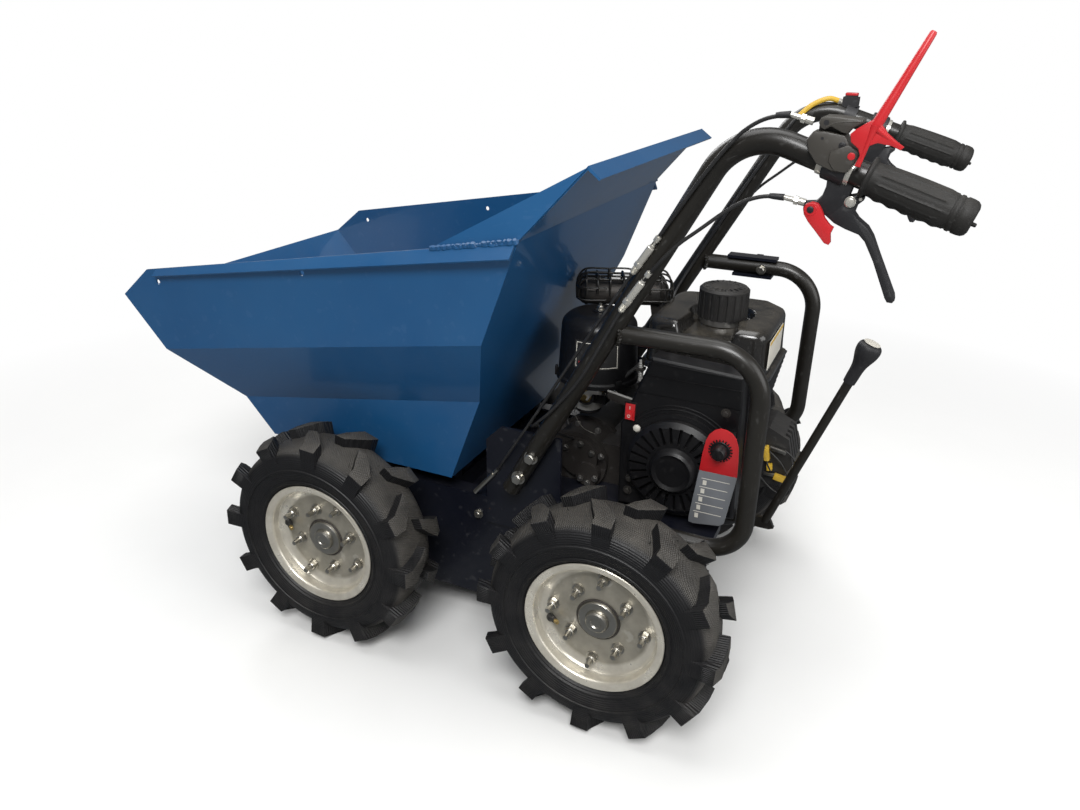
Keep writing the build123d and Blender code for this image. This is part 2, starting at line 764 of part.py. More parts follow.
tip_route = [
    (-474.5, 284, 951), (-448, 284, 957), (-420, 283, 952), (-396, 282, 937), (-374, 282, 912),
    (-351, 281, 880), (-309, 274, 815), (-262, 265, 742), (-200, 258, 642), (-142, 250, 545),
    (-92, 243, 462), (-52, 235, 398), (-22.6, 220.6, 353.2),
]
upper_run = [
    (-476.6, 273, 856), (-452, 273, 860), (-427, 273, 860), (-402, 274, 851), (-378, 276, 834),
    (-354, 277, 813), (-322, 275, 787), (-286, 273, 744), (-247, 270, 684), (-186, 264, 562),
]
clutch_route = upper_run + [
    (-137, 261, 500), (-100, 246, 462), (-84, 217, 448), (-88, 186, 434), (-98, 156, 414),
    (-108, 128, 395), (-114, 102.8, 380),
]
brake_route = upper_run + [
    (-137, 261, 500), (-100, 246, 464), (-88, 220, 448), (-100, 196, 428), (-116, 181, 408),
    (-134, 174.6, 386),
]
switch_route = [
    (-446.6, -261, 941), (-424, -254, 947), (-399, -249, 935), (-375, -240, 911), (-353, -236, 878),
    (-304, -234, 794), (-253, -229, 700), (-212, -224, 624), (-192, -206, 580), (-192, -178, 548),
    (-206, -144, 528), (-228, -112, 514), (-256, -72, 500),
]


# ---- skip ----
def rear_x(z, inset=0.0):
    return skip_floor_x0 - (z - skip_floor_z) / rear_tan + inset / sin(radians(rear_wall_angle))


def front_x(z, inset=0.0):
    return skip_floor_x1 + (z - skip_floor_z) / front_tan - inset / sin(radians(front_wall_angle))


def rim_z(x):
    return rear_rim_z - (x - rear_x(rear_rim_z)) * slope_tan


def skip_section(inset):
    """Solid of the skip's cross-section, run along the slope of its rim and folds."""
    low_w, high_w = skip_floor_w / 2 - inset, skip_w / 2 - inset
    back = -400.0
    low_z = fold_low_z + (rear_x(fold_low_z) - back) * slope_tan
    high_z = fold_high_z + (rear_x(fold_high_z) - back) * slope_tan
    rise = inset * tan(atan2(high_w - low_w, high_z - low_z) / 2)
    half = [(low_w, 0), (low_w, low_z + rise), (high_w, high_z + rise), (high_w, 1400)]
    points = half + [(-y, z) for y, z in reversed(half)]
    face = make_face(Polyline(*[(back, y, z) for y, z in points], close=True))
    angle = radians(skip_slope)
    return extrude(face, amount=1400, dir=(cos(angle), 0, -sin(angle)))


def skip_shell():
    z0 = skip_floor_z
    outline = [(rear_x(z0), z0), (front_x(z0), z0), (front_x(lip_z), lip_z),
               (rim_front_x, rim_z(rim_front_x)), (rear_x(rear_rim_z), rear_rim_z)]
    return skip_section(0) & prism(outline, -skip_w, skip_w)


def skip_pan():
    """Front wall, floor and rear wall folded from one sheet."""
    z0, z1 = skip_floor_z + sheet_t, 1000.0
    hollow = [(rear_x(z0, sheet_t), z0), (front_x(z0, sheet_t), z0),
              (front_x(z1, sheet_t), z1), (rear_x(z1, sheet_t), z1)]
    return (skip_shell() & skip_section(sheet_t)) - prism(hollow, -skip_w, skip_w)


def rim_strip():
    """Tapered strip folded out and down along the rim."""
    ends = []
    for x, width in ((rear_x(rear_rim_z) + 4, rim_strip_rear), (rim_front_x - 24, rim_strip_front)):
        y, z = skip_w / 2, rim_z(x)
        dy, dz = cos(radians(rim_strip_angle)), -sin(radians(rim_strip_angle))
        tip_y, tip_z = y + width * dy, z + width * dz
        corners = [(y - sheet_t, z - sheet_t), (y - sheet_t, z), (y, z), (tip_y, tip_z),
                   (tip_y + sheet_t * dz, tip_z - sheet_t * dy), (y, z - sheet_t * 1.6)]
        ends.append(make_face(Polyline(*[(x, *corner) for corner in corners], close=True)))
    return loft(ends, ruled=True)


def skip_side():
    """Side sheet with two folds, a turned-out rim and two side-board holes."""
    side = (skip_shell() - skip_section(sheet_t)) & box(-400, 900, 0, skip_w, 0, 1000)
    side += rim_strip()
    for x in board_hole_xs:
        side -= disc(x, rim_z(x) - board_hole_drop, board_hole_r, skip_w / 2 - 10, skip_w / 2 + 2)
    return side


def spill_guard():
    """Rear sheet folded back from the rim, with its top edge turned down."""
    x0, z0 = rear_x(rear_rim_z), rear_rim_z
    run = hypot(guard_top_x - x0, guard_top_z - z0)
    ux, uz = (guard_top_x - x0) / run, (guard_top_z - z0) / run
    nx, nz = uz * sheet_t, -ux * sheet_t
    tip_x, tip_z = guard_top_x - guard_strip * 0.75, guard_top_z - guard_strip * 0.66
    outline = [(x0, z0), (guard_top_x, guard_top_z - sheet_t * 1.2), (tip_x, tip_z),
               (tip_x - sheet_t * 0.66, tip_z + sheet_t * 0.75),
               (guard_top_x, guard_top_z + nz), (x0 + nx, z0 + nz)]
    low, high = skip_w / 2 - sheet_t - clear, guard_top_w / 2 - sheet_t - clear
    half = [(low, z0 - 1), (high, guard_top_z), (high, guard_top_z + 20)]
    points = half + [(-y, z) for y, z in reversed(half)]
    trim = make_face(Polyline(*[(-400, y, z) for y, z in points], close=True))
    return prism(outline, -skip_w, skip_w) & extrude(trim, amount=500, dir=(1, 0, 0))


def wings():
    """Gusset each side, from the rim up to the spill guard's top corner."""
    lift = 1.2
    foot = Vector(wing_foot_x, skip_w / 2, rim_z(wing_foot_x) + lift)
    heel = Vector(rear_x(rear_rim_z), skip_w / 2, rear_rim_z + lift)
    top = Vector(guard_top_x, guard_top_w / 2, guard_top_z)
    face = Face(Wire.make_polygon([foot, heel, top]))
    inward = face.normal_at() if face.normal_at().Y < 0 else face.normal_at() * -1
    return pair(extrude(face, amount=sheet_t, dir=inward))


def bearers():
    """Runners under the skip's floor, with the eyes that turn on the pivot shaft."""
    y0, y1 = bearer_y - bearer_w / 2, bearer_y + bearer_w / 2
    runner = box(skip_floor_x0 + bearer_end, skip_floor_x1 - bearer_end, y0, y1,
                 bearer_z0, skip_floor_z)
    runner += box(pivot_x - pivot_eye_r, pivot_x + pivot_eye_r, y0, y1, pivot_z, bearer_z0 + 1)
    runner += disc(pivot_x, pivot_z, pivot_eye_r, y0, y1)
    runner -= disc(pivot_x, pivot_z, pivot_r + run_gap, y0 - 1, y1 + 1)
    return pair(runner)


# ---- the nodes ----
left_bar, left_hoop, left_side = handlebar(), hoop(), skip_side()
left_lever = lever_unit()
nodes = {
    "drive_case": drive_case(),
    "axle_tubes": axle_tubes(),
    "drive_unit": drive_unit(),
    "deck_plate": deck_plate(),
    "frame_rails": frame_rails(),
    "cross_beams": cross_beams(),
    "pivot_shaft": pivot_shaft(),
    "handle_brackets": handle_brackets(),
    "handlebar_left": left_bar,
    "handlebar_right": mirrored(left_bar),
    "grips": grips(),
    "hoop_left": left_hoop,
    "hoop_right": mirrored(left_hoop),
    "hoop_feet": hoop_feet(),
    "hoop_clamp": hoop_clamp(),
    "engine_plate": engine_plate(),
    "engine_block": engine_block(),
    "blower_housing": blower_housing(),
    "tank_support": tank_support(),
    "recoil_cover": recoil_cover(),
    "fuel_tank": fuel_tank(),
    "fuel_cap": fuel_cap(),
    "air_cleaner": air_cleaner(),
    "carburettor": carburettor(),
    "muffler": muffler(),
    "muffler_guard": muffler_guard(),
    "gearbox": gearbox(),
    "belt_guard": belt_guard(),
    "throttle_panel": throttle_panel(),
    "stop_rocker": stop_rocker(),
    "regulator_box": regulator_box(),
    "gear_lever": gear_lever(),
    "gear_knob": gear_knob(),
    "lever_left": left_lever,
    "lever_right": mirrored(left_lever),
    "parking_catch": parking_catch(),
    "tip_control": tip_control(),
    "tip_lever": tip_lever(),
    "kill_switch": kill_switch(),
    "skip_latch": skip_latch(),
    "cable_tip": cable(tip_route),
    "cable_clutch": cable(clutch_route),
    "cable_brake": mirrored(cable(brake_route)),
    "cable_switch": cable(switch_route),
    "skip_pan": skip_pan(),
    "skip_side_left": left_side,
    "skip_side_right": mirrored(left_side),
    "spill_guard": spill_guard(),
    "wings": wings(),
    "bearers": bearers(),
}
corners = {"front_left": (1, True), "front_right": (1, False),
           "rear_left": (-1, True), "rear_right": (-1, False)}
one_tyre, one_wheel = tyre(), wheel()
for corner, (front, left) in corners.items():
    nodes["tyre_" + corner] = placed(one_tyre, front, left)
    nodes["wheel_" + corner] = placed(one_wheel, front, left)

# The part's origin is on the ground, under the middle of its overall box.
bounds = [shape.bounding_box() for shape in nodes.values()]
origin_x = (min(b.min.X for b in bounds) + max(b.max.X for b in bounds)) / 2
ground_z = min(b.min.Z for b in bounds)
os.makedirs("parts", exist_ok=True)
for name, shape in nodes.items():
    export_step(Pos(-origin_x, 0, -ground_z) * shape, f"parts/{name}.step")
print("cable bend radii", [round(r, 1) for r in cable_radii])
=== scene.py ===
import bpy
import bmesh
from math import cos, sin, pi, tau, radians, hypot
from mathutils import Vector, Matrix


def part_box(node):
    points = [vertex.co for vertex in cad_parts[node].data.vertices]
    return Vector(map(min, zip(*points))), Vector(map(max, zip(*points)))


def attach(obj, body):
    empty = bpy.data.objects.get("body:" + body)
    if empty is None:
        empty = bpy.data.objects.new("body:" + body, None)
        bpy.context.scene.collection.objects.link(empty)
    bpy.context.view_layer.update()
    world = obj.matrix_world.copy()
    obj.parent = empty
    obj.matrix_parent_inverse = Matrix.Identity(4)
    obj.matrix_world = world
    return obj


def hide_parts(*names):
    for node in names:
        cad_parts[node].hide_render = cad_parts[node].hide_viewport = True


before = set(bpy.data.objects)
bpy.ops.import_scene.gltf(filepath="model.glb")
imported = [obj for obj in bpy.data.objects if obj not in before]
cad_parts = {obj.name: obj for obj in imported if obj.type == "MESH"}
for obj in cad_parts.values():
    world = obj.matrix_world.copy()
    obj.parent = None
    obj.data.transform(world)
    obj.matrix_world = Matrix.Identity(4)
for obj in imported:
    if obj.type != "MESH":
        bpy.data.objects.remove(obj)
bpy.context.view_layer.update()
axisX, axisY, axisZ = Vector((1, 0, 0)), Vector((0, 1, 0)), Vector((0, 0, 1))


def middle(nodeName):
    low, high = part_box(nodeName)
    return (low + high) / 2


frontHub = middle("wheel_front_left")
rearHub = middle("wheel_rear_left")
midX = (frontHub.x + rearHub.x) / 2
halfBase = (frontHub.x - rearHub.x) / 2
axleHeight = frontHub.z


def spot(x, y, z):
    # millimetres from the ground midway between the axles, to metres in the frame
    return Vector((midX + x / 1000, y / 1000, z / 1000))


# ---- small tools for meshes ----

def keepPiece(name, mesh, body, standsFor=None):
    piece = bpy.data.objects.new(name, mesh)
    bpy.context.scene.collection.objects.link(piece)
    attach(piece, body)
    if standsFor:
        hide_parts(standsFor)


def finishPiece(name, shape, looks, sharp=38, body="frame", standsFor=None):
    # looks holds the names of the finishes, in the order of the faces' numbers
    bmesh.ops.recalc_face_normals(shape, faces=shape.faces)
    mesh = bpy.data.meshes.new(name)
    shape.to_mesh(mesh)
    shape.free()
    for look in looks.split():
        mesh.materials.append(finishes[look])
    mesh.shade_smooth()
    mesh.set_sharp_from_angle(angle=radians(sharp))
    keepPiece(name, mesh, body, standsFor)


def sideways(axis):
    # two directions square to the axis and to each other
    first = axis.cross(axisZ if abs(axis.z) < 0.9 else axisX).normalized()
    return first, axis.cross(first).normalized()


def leaned(x, z):
    # axes for a block turned about Y
    return Vector((x, 0, z)), axisY, Vector((-z, 0, x))


def around(shape, rings, finish=0):
    # faces between one ring of corners and the next; a ring of one corner is a tip
    sides = max(len(ring) for ring in rings)
    for low, high in zip(rings, rings[1:]):
        for i in range(sides):
            j = (i + 1) % sides
            corners = [low[i % len(low)], low[j % len(low)], high[j % len(high)], high[i % len(high)]]
            corners = list(dict.fromkeys(corners))
            if len(corners) > 2:
                shape.faces.new(corners).material_index = finish


def ringed(shape, centre, axis, profile, sides=32, finish=0):
    # a turned form: profile holds (distance along the axis, radius) in mm, and meets
    # itself where neither end lies on the axis
    axis = Vector(axis).normalized()
    first, second = sideways(axis)
    turns = [tau * i / sides for i in range(sides)]
    rings = []
    for along, radius in profile:
        base = centre + axis * along / 1000
        spread = turns if radius >= 0.001 else turns[:1]
        rings.append([shape.verts.new(base + (first * cos(angle) + second * sin(angle)) * radius / 1000)
                      for angle in spread])
    if len(rings[0]) > 1 and len(rings[-1]) > 1:
        rings.append(rings[0])
    around(shape, rings, finish)


def turned(shape, centre, axis, profile, sides=32, finish=0):
    # a turned form with both ends closed
    start, end = ([(along, 0)] if radius else [] for along, radius in (profile[0], profile[-1]))
    ringed(shape, centre, axis, start + profile + end, sides, finish)


def spike(shape, start, end, profile, sides=16, finish=0):
    # a turned form from one place to another: profile holds (share of the way, radius in mm)
    run = end - start
    length = run.length * 1000
    turned(shape, start, run, [(share * length, radius) for share, radius in profile], sides, finish)


def soften(shape, edges, width, profile=0.5):
    bmesh.ops.bevel(shape, geom=list(set(edges)), offset=width / 1000, segments=2,
                    affect="EDGES", profile=profile, material=-1)


def block(shape, centre, size, axes=None, bevel=0.6, finish=0):
    # a box with softened edges; axes turns it
    turn = Matrix(axes).transposed().to_4x4() if axes else Matrix.Identity(4)
    scale = Matrix.Diagonal([side / 1000 for side in size] + [1])
    made = bmesh.ops.create_cube(shape, size=1, matrix=Matrix.Translation(centre) @ turn @ scale)
    for face in set(face for vert in made["verts"] for face in vert.link_faces):
        face.material_index = finish
    if bevel:
        soften(shape, [edge for vert in made["verts"] for edge in vert.link_edges], bevel)


def plate(shape, corners, normal, thickness, bevel=0.5, finish=0):
    # a flat plate from its outline, raised along the normal
    face = shape.faces.new([shape.verts.new(corner) for corner in corners])
    face.material_index = finish
    grown = bmesh.ops.extrude_face_region(shape, geom=[face])
    tops = [part for part in grown["geom"] if isinstance(part, bmesh.types.BMVert)]
    bmesh.ops.translate(shape, vec=Vector(normal).normalized() * thickness / 1000, verts=tops)
    for vert in tops:
        for near in vert.link_faces:
            near.material_index = finish
    if bevel:
        soften(shape, [edge for vert in tops for edge in vert.link_edges
                       if all(v in tops for v in edge.verts)], bevel)


def sidePlate(shape, y, outline, thickness, bevel=0.5, finish=0):
    # a plate that stands along the machine, from (x, z) corners
    plate(shape, [spot(x, y, z) for x, z in outline], axisY, thickness, bevel, finish)


def flowing(points, steps=6):
    # points along a smooth line through the given ones
    ends = [points[0] * 2 - points[1]] + points + [points[-1] * 2 - points[-2]]
    line = []
    for a, b, c, d in zip(ends, ends[1:], ends[2:], ends[3:]):
        for i in range(steps):
            t = i / steps
            line.append(0.5 * (2 * b + (c - a) * t + (2 * a - 5 * b + 4 * c - d) * t * t
                               + (3 * b - a - 3 * c + d) * t ** 3))
    return line + [points[-1]]


def flowingSpots(*places):
    return flowing([spot(*place) for place in places])


def curvedPatch(shape, centre, radiusAt, angles, heights, thick, finish=0, steps=14):
    # a thin closed sheet bent round an upright can; angles in degrees from +X towards +Y
    grid = []
    for i in range(steps + 1):
        angle = radians(angles[0] + (angles[1] - angles[0]) * i / steps)
        out = Vector((cos(angle), sin(angle), 0))
        grid.append([[shape.verts.new(centre + out * (radiusAt(z) + lift) / 1000 + axisZ * z / 1000)
                      for lift in (0, thick)] for z in heights])

    def quad(*corners):
        shape.faces.new([grid[i][j][side] for i, j, side in corners]).material_index = finish

    last = len(heights) - 1
    for i in range(steps):
        for j in range(last):
            for side in (0, 1):
                quad((i, j, side), (i + 1, j, side), (i + 1, j + 1, side), (i, j + 1, side))
        for j in (0, last):
            quad((i, j, 0), (i, j, 1), (i + 1, j, 1), (i + 1, j, 0))
    for i in (0, steps):
        for j in range(last):
            quad((i, j, 0), (i, j, 1), (i, j + 1, 1), (i, j + 1, 0))


# ---- node trees ----

def startTree(name, kind, inputs, outputs):
    # a socket's value is its starting number, or its type
    tree = bpy.data.node_groups.new(name, kind)
    for way, sockets in (("INPUT", inputs), ("OUTPUT", outputs)):
        for label, value in sockets.items():
            held = value if isinstance(value, str) else "Int" if isinstance(value, int) else "Float"
            socket = tree.interface.new_socket(name=label, in_out=way, socket_type="NodeSocket" + held)
            if value != held:
                socket.default_value = value
    return tree, tree.nodes.new("NodeGroupInput"), tree.nodes.new("NodeGroupOutput")


def put(tree, kind, inputs=None, **settings):
    made = tree.nodes.new(kind)
    for key, value in settings.items():
        setattr(made, key, value)
    for key, value in (inputs or {}).items():
        if isinstance(value, bpy.types.NodeSocket):
            tree.links.new(value, made.inputs[key])
        else:
            made.inputs[key].default_value = value
    return made


def feed(tree, node, **sockets):
    for label, socket in sockets.items():
        tree.links.new(socket, node.inputs[label.replace("_", " ")])


def solver(operation):
    def solved(tree, *values):
        return put(tree, "ShaderNodeMath", dict(enumerate(values)), operation=operation).outputs[0]
    return solved


plus, minus, times, over, larger = map(solver, ("ADD", "SUBTRACT", "MULTIPLY", "DIVIDE", "MAXIMUM"))
sine, unsigned, sign, root, turnOf = map(solver, ("SINE", "ABSOLUTE", "SIGN", "SQRT", "ARCTAN2"))


def startGrower(name, sizes):
    return startTree(name, "GeometryNodeTree", {"Geometry": "Geometry", **sizes, "Finish": "Material"},
                     {"Geometry": "Geometry"})


def endGrower(tree, given, end, geometry):
    real = put(tree, "GeometryNodeRealizeInstances", {"Geometry": geometry})
    dressed = put(tree, "GeometryNodeSetMaterial",
                  {"Geometry": real.outputs[0], "Material": given.outputs["Finish"]})
    feed(tree, end, Geometry=dressed.outputs[0])
    return tree


def scattered(tree, given, geometry):
    # an instance on every point, stood along "axis", turned to "run" and scaled by "size"
    read = {label: put(tree, "GeometryNodeInputNamedAttribute", {"Name": label},
                       data_type="FLOAT_VECTOR").outputs[0] for label in ("axis", "run", "size")}
    stood = put(tree, "FunctionNodeAlignRotationToVector", {"Vector": read["axis"]}, axis="Z")
    turnedTo = put(tree, "FunctionNodeAlignRotationToVector",
                   {"Rotation": stood.outputs[0], "Vector": read["run"]}, axis="X", pivot_axis="Z")
    return put(tree, "GeometryNodeInstanceOnPoints", {
        "Points": given.outputs["Geometry"], "Instance": geometry,
        "Rotation": turnedTo.outputs[0], "Scale": read["size"]}).outputs[0]


def makeBoltTree():
    # a washer, a head with its crown, and the end of a stud
    look = dict(head=0.84, crownFoot=0.93, crownTop=0.78, crown=0.2, overlap=0.0004)
    tree, given, end = startGrower("boltTree", {
        "Head Width": 0.013, "Head Height": 0.006, "Washer Width": 0.018,
        "Washer Height": 0.0015, "Stud Width": 0.008, "Stud Height": 0.0, "Sides": 6})
    full = given.outputs
    half = {label: times(tree, full[label], 0.5) for label in (
        "Head Width", "Head Height", "Washer Width", "Washer Height", "Stud Width", "Stud Height")}
    headTop = plus(tree, full["Head Height"], full["Washer Height"])
    parts = (
        ("Cylinder", {"Vertices": full["Sides"], "Radius": half["Head Width"],
                      "Depth": times(tree, full["Head Height"], look["head"])},
         plus(tree, full["Washer Height"], times(tree, half["Head Height"], look["head"]))),
        ("Cone", {"Vertices": 16, "Radius Bottom": times(tree, half["Head Width"], look["crownFoot"]),
                  "Radius Top": times(tree, half["Head Width"], look["crownTop"]),
                  "Depth": times(tree, full["Head Height"], look["crown"])},
         minus(tree, headTop, times(tree, half["Head Height"], 2 * look["crown"]))),
        ("Cylinder", {"Vertices": 20, "Radius": half["Washer Width"], "Depth": full["Washer Height"]},
         half["Washer Height"]),
        ("Cylinder", {"Vertices": 12, "Radius": half["Stud Width"],
                      "Depth": plus(tree, full["Stud Height"], look["overlap"])},
         plus(tree, headTop, half["Stud Height"])))
    joined = put(tree, "GeometryNodeJoinGeometry")
    for kind, sizes, height in parts:
        solid = put(tree, "GeometryNodeMesh" + kind, sizes)
        lift = put(tree, "ShaderNodeCombineXYZ", {"Z": height})
        feed(tree, joined, Geometry=put(tree, "GeometryNodeTransform", {
            "Geometry": solid.outputs[0], "Translation": lift.outputs[0]}).outputs[0])
    return endGrower(tree, given, end, scattered(tree, given, joined.outputs[0]))


def makeBarTree():
    # small bars with narrowed tops: ribs, fins, teeth, weld beads
    # four sides of this radius make a square one unit wide
    corner = 0.7071
    tree, given, end = startGrower("barTree", {
        "Length": 0.01, "Width": 0.002, "Height": 0.001, "Narrowing": 0.8, "Sides": 4})
    bar = put(tree, "GeometryNodeMeshCone", {
        "Vertices": given.outputs["Sides"], "Radius Bottom": corner,
        "Radius Top": times(tree, given.outputs["Narrowing"], corner), "Depth": 1.0})
    squared = put(tree, "GeometryNodeTransform", {"Geometry": bar.outputs[0], "Rotation": (0, 0, pi / 4)})
    scale = put(tree, "ShaderNodeCombineXYZ", {
        "X": given.outputs["Length"], "Y": given.outputs["Width"], "Z": given.outputs["Height"]})
    sized = put(tree, "GeometryNodeTransform", {"Geometry": squared.outputs[0], "Scale": scale.outputs[0]})
    return endGrower(tree, given, end, scattered(tree, given, sized.outputs[0]))


def makeWireTree():
    # a round wire along every chain of edges
    tree, given, end = startGrower("wireTree", {"Thickness": 0.003, "Sides": 8})
    line = put(tree, "GeometryNodeMeshToCurve", {"Mesh": given.outputs["Geometry"]})
    ring = put(tree, "GeometryNodeCurvePrimitiveCircle", {
        "Resolution": given.outputs["Sides"], "Radius": times(tree, given.outputs["Thickness"], 0.5)})
    wire = put(tree, "GeometryNodeCurveToMesh", {
        "Curve": line.outputs[0], "Profile Curve": ring.outputs[0], "Fill Caps": True})
    smooth = put(tree, "GeometryNodeSetShadeSmooth", {"Geometry": wire.outputs[0]})
    return endGrower(tree, given, end, smooth.outputs[0])


boltTree = makeBoltTree()
barTree = makeBarTree()
wireTree = makeWireTree()


def grow(name, tree, seedMesh, sizes, look, body):
    # runs the tree once over the seed mesh and keeps the result as a plain mesh;
    # sizes come in the order of the tree's own inputs
    holder = bpy.data.objects.new(name + "Seed", seedMesh)
    bpy.context.scene.collection.objects.link(holder)
    modifier = holder.modifiers.new("grow", "NODES")
    modifier.node_group = tree
    inputs = [item for item in tree.interface.items_tree if item.in_out == "INPUT"]
    for item, value in zip(inputs[1:], sizes):
        modifier[item.identifier] = value
    modifier[inputs[-1].identifier] = finishes[look]
    graph = bpy.context.evaluated_depsgraph_get()
    mesh = bpy.data.meshes.new_from_object(holder.evaluated_get(graph))
    holder.modifiers.remove(modifier)
    bpy.data.objects.remove(holder)
    keepPiece(name, mesh, body)


def growOn(name, tree, sites, sizes, look, body="frame"):
    # sites hold a place, the way up, the way along and a scale
    mesh = bpy.data.meshes.new(name)
    mesh.from_pydata([site[0] for site in sites], [], [])
    columns = {
        "axis": [Vector(site[1]) for site in sites],
        "run": [Vector(site[2]) if len(site) > 2 else sideways(Vector(site[1]))[0] for site in sites],
        "size": [Vector(site[3]) if len(site) > 3 else Vector((1, 1, 1)) for site in sites],
    }
    for label, vectors in columns.items():
        mesh.attributes.new(label, "FLOAT_VECTOR", "POINT")
        mesh.attributes[label].data.foreach_set("vector", [part for vector in vectors for part in vector])
    grow(name, tree, mesh, sizes, look, body)


def growWires(name, lines, thickness, look, sides=8):
    verts = [point for line in lines for point in line]
    edges = []
    start = 0
    for line in lines:
        edges += [(start + i, start + i + 1) for i in range(len(line) - 1)]
        start += len(line)
    mesh = bpy.data.meshes.new(name)
    mesh.from_pydata(verts, edges, [])
    grow(name, wireTree, mesh, (thickness / 1000, sides), look, "frame")


print("geometry trees ready")


# ---- shared shader groups ----

def startGroup(name, inputs, *outputs):
    return startTree(name, "ShaderNodeTree", inputs, dict.fromkeys(outputs, "Float"))


def place(tree, output="Object"):
    return put(tree, "ShaderNodeTexCoord").outputs[output]


def split(tree, vector):
    return put(tree, "ShaderNodeSeparateXYZ", {0: vector}).outputs


def noise(tree, vector, scale, detail=3.0, roughness=0.5):
    return put(tree, "ShaderNodeTexNoise", {
        "Vector": vector, "Scale": scale, "Detail": detail, "Roughness": roughness}).outputs[0]


def ramp(tree, value, low, high):
    return put(tree, "ShaderNodeMapRange", {"Value": value, "From Min": low, "From Max": high}).outputs[0]


def makeGrainGroup():
    # fine grain for bump, and slow patches for colour and gloss
    tree, given, end = startGroup("grain", {"Fine": 900.0, "Coarse": 7.0}, "Height", "Patch")
    where = place(tree)
    fine = noise(tree, where, given.outputs["Fine"], 2.0)
    slow = noise(tree, where, given.outputs["Coarse"], 4.0, 0.6)
    feed(tree, end, Height=fine, Patch=ramp(tree, slow, 0.3, 0.7))
    return tree


def makeDustGroup():
    # dust thickens near the ground and on faces that look up; on the tank the part on upward faces also
    # serves as a painted sheen
    tree, given, end = startGroup("dust", {"Reach": 0.5, "Ground": 0.5, "Top": 0.3}, "Mask")
    where = place(tree)
    low = minus(tree, 1.0, over(tree, split(tree, where)[2], given.outputs["Reach"]))
    low = times(tree, ramp(tree, low, 0.0, 1.0), given.outputs["Ground"])
    facing = split(tree, put(tree, "ShaderNodeNewGeometry").outputs["Normal"])
    up = times(tree, ramp(tree, facing[2], 0.5, 1.0), given.outputs["Top"])
    speckle = ramp(tree, noise(tree, where, 26.0, 6.0, 0.7), 0.35, 0.75)
    total = times(tree, plus(tree, low, up), speckle)
    feed(tree, end, Mask=put(tree, "ShaderNodeClamp", {0: total}).outputs[0])
    return tree


def makeSpotGroup():
    # rust or bare spots, with a thin stain round them
    tree, given, end = startGroup("spots", {"Scale": 20.0, "Cover": 0.2}, "Mask", "Stain")
    field = noise(tree, place(tree), given.outputs["Scale"], 8.0, 0.72)
    inner = minus(tree, field, minus(tree, 0.8, times(tree, given.outputs["Cover"], 0.5)))
    feed(tree, end, Mask=ramp(tree, inner, 0.0, 0.02), Stain=ramp(tree, inner, -0.08, 0.02))
    return tree


def makeScuffGroup():
    # fine scratches in two directions
    tree, given, end = startGroup("scuffs", {"Scale": 60.0, "Amount": 0.3}, "Mask")
    where = place(tree)
    masks = []
    for turn in ((0.4, 0.2, 1.1), (1.3, 0.7, -0.5)):
        bent = put(tree, "ShaderNodeMapping", {"Vector": where, "Rotation": turn, "Scale": (1, 14, 1)})
        lines = noise(tree, bent.outputs[0], given.outputs["Scale"], 2.0, 0.4)
        masks.append(ramp(tree, lines, 0.66, 0.72))
    feed(tree, end, Mask=times(tree, larger(tree, *masks), given.outputs["Amount"]))
    return tree


def makeWheelGroup():
    # distance from the axle and turn round it, the same on all four wheels
    tree, given, end = startGroup(
        "wheelSpace", {"Middle": midX, "Half Base": halfBase, "Axle Height": axleHeight},
        "Radius", "Angle", "Across", "Outward")
    parts = split(tree, place(tree))
    ahead = minus(tree, parts[0], given.outputs["Middle"])
    along = minus(tree, unsigned(tree, ahead), given.outputs["Half Base"])
    up = minus(tree, parts[2], given.outputs["Axle Height"])
    radius = root(tree, plus(tree, times(tree, along, along), times(tree, up, up)))
    # how far the face points away from the axle: 1 straight out, 0 sideways
    facing = split(tree, place(tree, "Normal"))
    forwards = times(tree, facing[0], sign(tree, ahead))
    reach = plus(tree, times(tree, forwards, along), times(tree, facing[2], up))
    feed(tree, end, Radius=radius, Outward=over(tree, reach, radius), Angle=turnOf(tree, up, along),
         Across=unsigned(tree, parts[1]))
    return tree


grainGroup = makeGrainGroup()
dustGroup = makeDustGroup()
spotGroup = makeSpotGroup()
scuffGroup = makeScuffGroup()
wheelGroup = makeWheelGroup()


# ---- finishes ----

def useGroup(tree, group, **values):
    made = put(tree, "ShaderNodeGroup", node_tree=group)
    for label, value in values.items():
        made.inputs[label.replace("_", " ")].default_value = value
    return made.outputs


def mixColour(tree, factor, *colours):
    first, second = ((*colour, 1.0) if isinstance(colour, tuple) else colour for colour in colours)
    return put(tree, "ShaderNodeMix", {0: factor, 6: first, 7: second}, data_type="RGBA").outputs[2]


def mixValue(tree, factor, first, second):
    return put(tree, "ShaderNodeMix", {0: factor, 2: first, 3: second}, data_type="FLOAT").outputs[0]


def startFinish(name, **fixed):
    material = bpy.data.materials.new(name)
    material.use_nodes = True
    tree = material.node_tree
    tree.nodes.clear()
    shader = put(tree, "ShaderNodeBsdfPrincipled",
                 {label.replace("_", " "): value for label, value in fixed.items()})
    put(tree, "ShaderNodeOutputMaterial", {"Surface": shader.outputs[0]})
    return material, tree, shader


def endFinish(tree, shader, colour, rough, height, strength, depth):
    made = put(tree, "ShaderNodeBump", {"Height": height, "Strength": strength, "Distance": depth})
    feed(tree, shader, Base_Color=colour, Roughness=rough, Normal=made.outputs[0])


def layered(tree, mix, lowest, *layers):
    # each layer is a mask and what shows through it
    for mask, value in layers:
        lowest = mix(tree, mask, lowest, value)
    return lowest


dustColour = (0.20, 0.18, 0.155)
rustColour = (0.10, 0.032, 0.010)
rustStain = (0.05, 0.028, 0.018)


